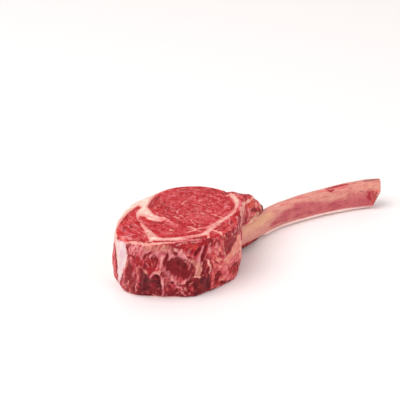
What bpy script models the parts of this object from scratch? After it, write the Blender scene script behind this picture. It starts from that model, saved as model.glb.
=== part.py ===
"""Raw tomahawk steak: a thick rib-eye cut, lying flat, with its long scraped rib bone along +X.

Every tissue that shows on the cut face is its own solid and runs through the whole thickness: the eye,
the cap, the thin strip where the spine was, the marbled rib meat, the tail meat round the bone, the fat
that joins them all, and the rib bone with its sawn head. The origin lies on the rest face, under the eye.
Lengths in this file are millimetres until a mesh is made.
"""

import math

import bmesh
import bpy
from mathutils import Vector

MM = 0.001
THICKNESS = 62.0  # from one cut face to the other
GAP = 0.3  # left between touching solids
EDGE_ROUND = 3.0  # the cut faces' edges
CROWN = 1.3  # how far the upper cut face swells in the middle
WALL_HEIGHTS = (0, 0.9, 3, 10, 19, 28, 37, 46, 54, 59, 61.1, THICKNESS)
CORE_HEIGHTS = (0, 15, 31, 47, THICKNESS)
CROWN_SIZES = (0.84, 0.6, 0.32)  # the rings of the upper cut face, as shares of its rim
COLUMNS = ((0.7, 11, 0.0, 3.0), (0.45, 23, 1.3, 5.0))  # the wall's swells: depth, count, phase, lean
SPAN_STEPS = 3  # points to each span of an outline
PATH_STEPS = 2  # sections to each span of a path
OVERHANG = 9.0  # how far a muscle's form reaches past the meat before it is trimmed
SHARP_ANGLE = math.radians(40)

# The meat's outline, anticlockwise from the end where the bone leaves: its place on the lower cut face,
# at half height and on the upper cut face, and the thickness of the outer fat. Where that is negative
# the lean lies bare.
BARE = -5.0
MEAT_OUTLINE = (
    ((60, 5), (60, 5), (61, 3), 4.0),
    ((58, 16), (60, 17), (56, 14), 4.0),
    ((53, 27), (56, 28), (51.5, 25), 3.0),
    ((46, 38), (49, 40), (44.7, 37.2), 2.2),
    ((35, 47.5), (38, 50), (34, 46.8), 2.2),
    ((20, 54.5), (22, 57.5), (20, 54.2), 2.2),
    ((4, 57), (4, 60), (4, 57), 3.0),
    ((-14, 54.5), (-15, 57.5), (-14, 53.6), 4.0),
    ((-31, 50.5), (-33, 53.5), (-31, 50.3), 8.0),
    ((-46, 44), (-48.5, 46.5), (-45, 44), 8.0),
    ((-59, 34.5), (-61.5, 36.5), (-57, 34.5), 5.5),
    ((-68.5, 23.5), (-71, 24), (-68, 22), 4.2),
    ((-74, 10), (-77.5, 9), (-77, 8), 2.4),
    ((-73, -3), (-78.3, -6), (-78.5, -5), 4.0),
    ((-67.5, -13), (-74, -17.5), (-74.5, -17.5), -1.0),
    ((-56, -22), (-62, -28), (-62, -28.5), BARE),
    ((-42, -31.5), (-45, -36.5), (-45, -36.5), BARE),
    ((-28, -40.5), (-29, -43.5), (-29, -41), BARE),
    ((-18, -43.2), (-15, -47), (-13, -45), BARE),
    ((2, -40), (2, -46), (2.2, -48), BARE),
    ((20, -36), (17, -41), (15.2, -44.7), BARE),
    ((32, -29.5), (30, -33), (28.5, -36.8), BARE),
    ((43, -18.5), (41.5, -20), (37, -26.5), BARE),
    ((51, -6.5), (50, -8), (47.5, -14.5), BARE),
)

# Where each muscle lies in plan. The fat is what they leave.
EYE_OUTLINE = (
    (-29, 33), (-12.5, 49.5), (14, 66), (46, 48), (50, 18), (44.5, -5), (36, -14.5), (25, -20.5),
    (5, -27.5), (-9, -34.5), (-19, -34.5), (-41, -26.8), (-47.5, -20), (-49, 0), (-45.5, 20.5),
    (-41, 20), (-34, 5), (-27, -4), (-24.2, -8.5), (-24.8, -1), (-28.8, 17), (-30.8, 25),
)
CAP_OUTLINE = (
    (-36.5, 36), (-45, 44), (-70, 40), (-92, 8), (-88, -20), (-70, -38), (-60.5, -35),
    (-59, -25), (-55.5, -11), (-52, 5), (-48, 22), (-43.5, 30.5),
)
CHINE_OUTLINE = (
    (-55.5, -24.5), (-41.5, -32.8), (-24, -38.3), (-9.5, -40.5), (-9.8, -47), (-11, -58),
    (-34, -58), (-57.5, -42),
)
RIB_MEAT_OUTLINE = (
    (-5.5, -40), (9, -32), (27, -24.5), (38, -18.3), (45.5, -10.5), (55, -14), (50, -40),
    (24, -58), (-5, -60), (-6.8, -47),
)

# The rib bone's centre line, each point with the bone's height and thickness there. It starts outside
# the sawn wall, where the saw took it off together with the meat.
BONE_PATH = (
    (17, -48, 9, 28, 21),
    (26.5, -34.5, 17, 29, 20),
    (33, -19, 23.5, 28, 18),
    (41.5, -7.8, 25, 26, 16.5),
    (52, -0.8, 23.5, 25.5, 16),
    (63, 4.4, 20.8, 25.5, 15.5),
    (75, 9.6, 18.2, 26, 15),
    (95, 17.8, 16, 27, 15),
    (119, 23.4, 15.6, 28, 15.5),
    (148, 23.3, 15.5, 28, 16),
    (175, 20.8, 15.8, 28.5, 16),
    (201, 16.4, 16.5, 31, 16),
    (224, 9, 17, 31.5, 16),
    (250, -3, 17.2, 31.5, 16),
)
BONE_SIDES = 20
BONE_SQUARENESS = 2.5  # power of the superellipse: 2 is an ellipse
BONE_END = Vector((236.6, 3.4, 17))  # a point on the sawn end
BONE_END_TURN = math.radians(-24.5)
CHAMFER_POINT = Vector((231, 0, 12))  # the broken lower corner of the sawn end
CHAMFER_NORMAL = Vector((0.66, -0.66, -0.36))
SAW_WASTE_OUTLINE = ((43, -15), (10, -38), (-12, -60), (30, -78), (68, -44))

# The tail meat that wraps the bone: cross-sections along X, each with the near and the far edge, how far
# the near side swells over the bone, the lowest height, and the top at each edge.
TAIL_SECTIONS = (
    (43, -14, 31, 0, 3.0, 54, 57),
    (53, -3, 33, 3, 0.9, 59.5, 58),
    (63, 3, 35, 5, 0.6, 60, 54),
    (71, 7.5, 36.5, 6, 0.8, 56.5, 48),
    (80, 12.5, 37, 6, 1.2, 49, 42),
    (90, 17, 36, 4, 2.6, 40, 36),
    (99, 21, 33.5, 2, 6, 31.5, 29.5),
)
TAIL_END_X = 103.0
TAIL_CLEARANCE = 0.7  # the tail meat hangs this far clear of the rest face


def clear_scene():
    for old in list(bpy.data.objects):
        bpy.data.objects.remove(old, do_unlink=True)


def new_collection(name, shown):
    collection = bpy.data.collections.new(name)
    bpy.context.scene.collection.children.link(collection)
    collection.hide_render = not shown
    return collection


def new_material(name, colour, roughness):
    material = bpy.data.materials.new(name)
    material.use_nodes = True
    shader = material.node_tree.nodes["Principled BSDF"]
    shader.inputs["Base Color"].default_value = (*colour, 1.0)
    shader.inputs["Roughness"].default_value = roughness
    shader.inputs["Metallic"].default_value = 0.0
    return material


def new_object(name, data, collection):
    made = bpy.data.objects.new(name, data)
    collection.objects.link(made)
    return made


def finish(body, material):
    body.data.materials.append(material)
    body.data.shade_smooth()
    body.data.set_sharp_from_angle(angle=SHARP_ANGLE)


def spline_points(a, b, c, d, steps):
    """Points on the Catmull-Rom curve from b to c, without c."""
    shares = [step / steps for step in range(steps)]
    square = 2 * a - 5 * b + 4 * c - d
    cube = 3 * b - a - 3 * c + d
    return [0.5 * (2 * b + (c - a) * t + square * t**2 + cube * t**3) for t in shares]


def smooth_closed(points, steps=SPAN_STEPS):
    """A closed smooth curve through these points."""
    points = [Vector(p) for p in points]
    found = []
    for i in range(len(points)):
        near = [points[(i + k) % len(points)] for k in (-1, 0, 1, 2)]
        found += spline_points(*near, steps)
    return found


def smooth_open(rows, steps=PATH_STEPS):
    """An open smooth curve through these rows of numbers."""
    rows = [Vector(r) for r in rows]
    rows = [2 * rows[0] - rows[1], *rows, 2 * rows[-1] - rows[-2]]
    found = []
    for i in range(1, len(rows) - 2):
        found += spline_points(*rows[i - 1 : i + 3], steps)
    found.append(rows[-2])
    return found


def moved_out(outline, amounts):
    """A flat anticlockwise outline, each point moved along its own outward normal."""
    moved = []
    for i, point in enumerate(outline):
        along = outline[(i + 1) % len(outline)] - outline[i - 1]
        outward = Vector((along.y, -along.x)).normalized()
        moved.append(point + outward * amounts[i])
    return moved


def mesh_of(name, build):
    """A mesh in metres, from a function that fills a bmesh in millimetres."""
    made = bmesh.new()
    build(made)
    bmesh.ops.recalc_face_normals(made, faces=made.faces)
    bmesh.ops.scale(made, vec=(MM, MM, MM), verts=made.verts)
    mesh = bpy.data.meshes.new(name)
    made.to_mesh(mesh)
    made.free()
    return mesh


def loft(rings, pole=None):
    """A closed skin through rings of equally many points: the first ring is filled flat, and the last
    one too, or it closes on a pole."""

    def build(made):
        rows = [[made.verts.new(point) for point in ring] for ring in rings]
        sides = len(rows[0])
        for lower, upper in zip(rows, rows[1:]):
            for i in range(sides):
                j = (i + 1) % sides
                made.faces.new((lower[i], lower[j], upper[j], upper[i]))
        made.faces.new(rows[0][::-1])
        if pole is None:
            made.faces.new(rows[-1])
            return
        top = made.verts.new(pole)
        for i in range(sides):
            made.faces.new((rows[-1][i], rows[-1][(i + 1) % sides], top))

    return build


def prism(name, outline, low, high, collection):
    """A flat outline, filled and extruded from one height to the other."""
    curve = bpy.data.curves.new(name, "CURVE")
    curve.dimensions = "2D"
    curve.fill_mode = "BOTH"
    curve.extrude = (high - low) / 2 * MM
    spline = curve.splines.new("POLY")
    spline.points.add(len(outline) - 1)
    for place, point in zip(spline.points, outline):
        place.co = (point.x * MM, point.y * MM, 0, 1)
    spline.use_cyclic_u = True
    drawn = new_object(name + "_line", curve, collection)
    drawn.location.z = (high + low) / 2 * MM
    return as_mesh(drawn, name, collection)


def as_mesh(drawn, name, collection):
    """The curve object made a closed mesh, and the curve removed."""
    bpy.context.view_layer.update()
    evaluated = drawn.evaluated_get(bpy.context.evaluated_depsgraph_get())
    mesh = bpy.data.meshes.new_from_object(evaluated)
    made = new_object(name, mesh, collection)
    made.matrix_world = drawn.matrix_world.copy()
    bpy.data.objects.remove(drawn, do_unlink=True)
    welded = bmesh.new()
    welded.from_mesh(mesh)
    bmesh.ops.remove_doubles(welded, verts=welded.verts, dist=0.01 * MM)
    bmesh.ops.recalc_face_normals(welded, faces=welded.faces)
    welded.to_mesh(mesh)
    welded.free()
    return made


def boolean(target, tool, operation):
    made = target.modifiers.new(f"{operation.lower()}_{tool.name}", "BOOLEAN")
    made.operation = operation
    made.solver = "EXACT"
    made.object = tool


def outline_at(share, grow=0.0, inset_by_fat=False):
    """The meat's outline at this share of the thickness, moved out by grow."""
    weights = (2 * (share - 0.5) * (share - 1), 4 * share * (1 - share), 2 * share * (share - 0.5))
    corners = [
        sum((Vector(place) * w for place, w in zip(row[:3], weights)), Vector((0, 0)))
        for row in MEAT_OUTLINE
    ]
    outline = smooth_closed(corners)
    fat = [v.x for v in smooth_closed([(row[3], 0) for row in MEAT_OUTLINE])]
    amounts = [grow - (f if inset_by_fat else 0.0) for f in fat]
    return moved_out(outline, amounts)


def side_relief(turn, share):
    """How far the wall's upright swells stand out. They fade at both cut faces."""
    fade = math.sin(math.pi * share) ** 0.5
    return fade * sum(
        depth * math.sin(count * turn + phase + lean * share) for depth, count, phase, lean in COLUMNS
    )


def meat_rings(grow=0.0):
    """The outside of the meat from the rest face up the wall and in over the upper cut face."""
    rings = []
    for height in WALL_HEIGHTS:
        share = height / THICKNESS
        from_face = min(height, THICKNESS - height, EDGE_ROUND)
        rounding = EDGE_ROUND - math.sqrt(EDGE_ROUND**2 - (EDGE_ROUND - from_face) ** 2)
        outline = outline_at(share)
        turns = [2 * math.pi * i / len(outline) for i in range(len(outline))]
        amounts = [grow - rounding + side_relief(turn, share) for turn in turns]
        level = height + {0: -grow, THICKNESS: grow}.get(height, 0)
        rings.append([(p.x, p.y, level) for p in moved_out(outline, amounts)])
    rim = rings[-1]
    centre = sum((Vector(p) for p in rim), Vector()) / len(rim)
    for size in CROWN_SIZES:
        rise = CROWN * (1 - size**2)
        rings.append([centre.lerp(Vector(p), size) + Vector((0, 0, rise)) for p in rim])
    return rings, centre + Vector((0, 0, CROWN))


def meat_form(name, collection, grow=0.0):
    rings, pole = meat_rings(grow)
    return new_object(name, mesh_of(name, loft(rings, pole)), collection)


def lean_core(name, collection, grow):
    """The room inside the outer fat, past both cut faces."""
    rings = []
    for height in (-OVERHANG, *CORE_HEIGHTS, THICKNESS + OVERHANG):
        share = min(max(height / THICKNESS, 0), 1)
        outline = outline_at(share, grow, inset_by_fat=True)
        rings.append([(p.x, p.y, height) for p in outline])
    return new_object(name, mesh_of(name, loft(rings)), collection)


def muscle_form(name, corners, helpers, grow, inside_fat):
    """A muscle's outline through the whole thickness, held inside the outer fat."""
    outline = smooth_closed(corners)
    area = sum(a.cross(b) for a, b in zip(outline, outline[1:] + outline[:1]))
    if area < 0:
        outline.reverse()
    outline = moved_out(outline, [grow] * len(outline))
    made = prism(name, outline, -OVERHANG / 2, THICKNESS + OVERHANG / 2, helpers)
    if inside_fat:
        core = lean_core(name + "_core", helpers, grow)
        boolean(made, core, "INTERSECT")
    return made


def bone_rings(grow=0.0):
    """Rounded flat sections along the bone, square to its centre line."""
    rows = smooth_open(BONE_PATH)
    centres = [Vector(row[:3]) for row in rows]
    power = 2 / BONE_SQUARENESS
    rings = []
    for i, row in enumerate(rows):
        along = (centres[min(i + 1, len(rows) - 1)] - centres[max(i - 1, 0)]).normalized()
        across = Vector((0, 0, 1)).cross(along).normalized()
        up = along.cross(across)
        ring = []
        for side in range(BONE_SIDES):
            angle = 2 * math.pi * side / BONE_SIDES
            c, s = math.cos(angle), math.sin(angle)
            wide = math.copysign(abs(c) ** power, c) * (row[4] / 2 + grow)
            high = math.copysign(abs(s) ** power, s) * (row[3] / 2 + grow)
            ring.append(centres[i] + across * wide + up * high)
        rings.append(ring)
    return rings


def cut_flat(mesh, point, normal):
    """Takes away what lies past a plane, and closes the cut."""
    made = bmesh.new()
    made.from_mesh(mesh)
    everything = made.verts[:] + made.edges[:] + made.faces[:]
    done = bmesh.ops.bisect_plane(
        made, geom=everything, plane_co=point * MM, plane_no=normal.normalized(), clear_outer=True
    )
    rim = [item for item in done["geom_cut"] if isinstance(item, bmesh.types.BMEdge)]
    bmesh.ops.holes_fill(made, edges=rim)
    bmesh.ops.recalc_face_normals(made, faces=made.faces)
    made.to_mesh(mesh)
    made.free()


def bone_form(name, collection, grow=0.0):
    mesh = mesh_of(name, loft(bone_rings(grow)))
    if grow == 0:
        end_normal = Vector((math.cos(BONE_END_TURN), math.sin(BONE_END_TURN), 0))
        cut_flat(mesh, BONE_END, end_normal)
        cut_flat(mesh, CHAMFER_POINT, CHAMFER_NORMAL)
    return new_object(name, mesh, collection)


def saw_waste(collection):
    """What the saw took away in front of the sawn wall, on its side of the ridge."""
    made = prism("saw_waste", [Vector(p) for p in SAW_WASTE_OUTLINE], -OVERHANG, THICKNESS, collection)
    boolean(made, meat_form("meat_at_saw", collection), "DIFFERENCE")
    return made


def tail_form(name, collection):
    """A soft lump round the bone, from sections along X."""
    rings = []
    for x, near, far, swell, low, top_near, top_far in smooth_open(TAIL_SECTIONS):
        middle = (near + far) / 2
        corners = (
            (near + 2.5, low), (middle + 1, low), (far - 3, low + 1.5), (far, (low + top_far) / 2),
            (far - 2, top_far - 3), (middle, (top_near + top_far) / 2 + 0.8), (near + 3, top_near),
            (near, top_near - 5), (near - swell, low + 0.57 * (top_near - low)),
            (near - 1, low + 0.12 * (top_near - low)),
        )
        rings.append([(x, y, max(z, TAIL_CLEARANCE)) for y, z in smooth_closed(corners, PATH_STEPS)])
    last = [Vector(p) for p in rings[-1]]
    centre = sum(last, Vector()) / len(last)
    rings.append([centre.lerp(p, 0.6) + Vector((1.6, 0, 0)) for p in last])
    pole = Vector((TAIL_END_X, centre.y, centre.z))
    return new_object(name, mesh_of(name, loft(rings, pole)), collection)


def main():
    clear_scene()
    steak = new_collection("tomahawk_steak", shown=True)
    helpers = new_collection("forms_and_cutters", shown=False)

    lean = new_material("lean", (0.52, 0.055, 0.06), 0.38)
    fat = new_material("fat", (0.86, 0.62, 0.5), 0.42)
    bone = new_material("bone", (0.74, 0.4, 0.3), 0.4)

    muscles = (
        ("eye_muscle", EYE_OUTLINE, True),
        ("cap_muscle", CAP_OUTLINE, True),
        ("chine_meat", CHINE_OUTLINE, False),
        ("rib_meat", RIB_MEAT_OUTLINE, False),
    )
    bone_room = bone_form("bone_room", helpers, GAP)
    fat_body = meat_form("seam_fat", steak)
    for name, corners, inside_fat in muscles:
        body = meat_form(name, steak)
        boolean(body, muscle_form(name + "_form", corners, helpers, 0.0, inside_fat), "INTERSECT")
        room = muscle_form(name + "_room", corners, helpers, GAP, inside_fat)
        boolean(fat_body, room, "DIFFERENCE")
        if name in ("eye_muscle", "rib_meat"):
            boolean(body, bone_room, "DIFFERENCE")
        finish(body, lean)
    boolean(fat_body, bone_room, "DIFFERENCE")
    finish(fat_body, fat)

    tail = tail_form("tail_meat", steak)
    boolean(tail, meat_form("meat_room", helpers, GAP), "DIFFERENCE")
    boolean(tail, bone_room, "DIFFERENCE")
    finish(tail, lean)

    rib = bone_form("rib_bone", steak)
    boolean(rib, saw_waste(helpers), "DIFFERENCE")
    finish(rib, bone)

    for helper in helpers.objects:
        helper.hide_render = True
        helper.display_type = "WIRE"


main()
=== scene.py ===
import math

import bpy
import numpy as np
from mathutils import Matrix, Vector
from mathutils.bvhtree import BVHTree


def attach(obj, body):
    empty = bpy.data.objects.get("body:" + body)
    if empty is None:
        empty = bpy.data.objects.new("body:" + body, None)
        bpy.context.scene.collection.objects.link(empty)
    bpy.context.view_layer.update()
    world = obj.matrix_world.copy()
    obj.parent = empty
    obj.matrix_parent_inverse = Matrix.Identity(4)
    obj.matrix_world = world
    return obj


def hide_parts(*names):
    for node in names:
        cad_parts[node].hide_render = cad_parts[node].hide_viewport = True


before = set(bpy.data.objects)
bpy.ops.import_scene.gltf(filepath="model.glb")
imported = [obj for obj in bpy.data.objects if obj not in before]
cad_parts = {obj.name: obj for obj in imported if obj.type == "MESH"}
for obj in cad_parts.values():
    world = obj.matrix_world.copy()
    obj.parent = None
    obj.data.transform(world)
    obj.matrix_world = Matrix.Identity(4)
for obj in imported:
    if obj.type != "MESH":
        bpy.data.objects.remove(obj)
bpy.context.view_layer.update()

# Lengths are millimetres unless a comment says otherwise. Meshes are in metres.
MM = 0.001
LEAN_NODES = ("eye_muscle", "cap_muscle", "chine_meat", "rib_meat", "tail_meat")
FAT_NODE = "seam_fat"
BONE_NODE = "rib_bone"

# The size of the small cubes that the new skins are made from.
FLESH_VOXEL = 0.8
BONE_VOXEL = 0.65
# The solids grow by this much before they become one skin, so that the seams between them close.
SEAM_CLOSING = 0.22
# The bone's way through the meat is filled with a slightly larger bone, up to this x.
BONE_CLEARANCE = 0.12
BONE_BURIED_TO = 52.0

# The strip of meat that lies along the bone's lower edge: places and radii along it.
UNDER_STRIP = (
    (52, -5.4, 9.4, 2.4), (55, -3.8, 9.8, 2.5), (58, -2.6, 9.6, 2.6), (62, -1.4, 9.2, 2.6),
    (66, 0.1, 8.7, 2.6), (70, 1.9, 8.1, 2.4), (74, 3.7, 7.2, 2.2), (78, 5.6, 6.4, 2.0),
    (81, 7.3, 5.8, 1.8), (84, 9.0, 5.2, 1.4),
)

# The grain of the cut faces runs in rings round the middle of the eye. A smaller spread draws the
# fibres out along their ring. Within RING_START the spread fades, so that no star shows there.
EYE_CENTRE = (2.0, 12.0)
RING_SPREAD = 16.5
RING_START = 14.0
# The grain of the sides hangs from the upper face. A larger spread makes it finer round the steak,
# a smaller stretch draws it out downwards, and it leans by this many radians for each mm of height.
STRAND_SPREAD = 60.0
STRAND_STRETCH = 0.24
STRAND_LEAN = 0.0045

# The lip along the bone's lower front edge, painted pale as light bounced up from the floor, is moved by
# about this much where it is strongest.
LIP_MOVE = (0.0, -1.9, -0.9)
# The bone's buried part is drawn in by this much, so that it can't show through the meat.
BONE_DRAWN_IN = 2.4

# The camera: the spot it looks at and its distance from there in metres, its direction in degrees.
AIM = (0.07817, 0.11540, 0.0)
DISTANCE = 1.0456
AZIMUTH = -31.0
ELEVATION = 29.0
LENS = 85.0
SENSOR = 36.0

# Lamps: name, azimuth and elevation in degrees, distance from the lit spot and size in metres, watts.
LIT_SPOT = (0.03, 0.0, 0.03)
LAMPS = (("key", -88.0, 58.0, 3.0, 2.2, 54.0), ("front_fill", 15.0, 35.0, 3.0, 2.0, 13.0))
WORLD_STRENGTH = 0.66
FLOOR_SIZE = 6.0
FLOOR_COLOUR = (0.97, 0.915, 0.905, 1.0)


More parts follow.
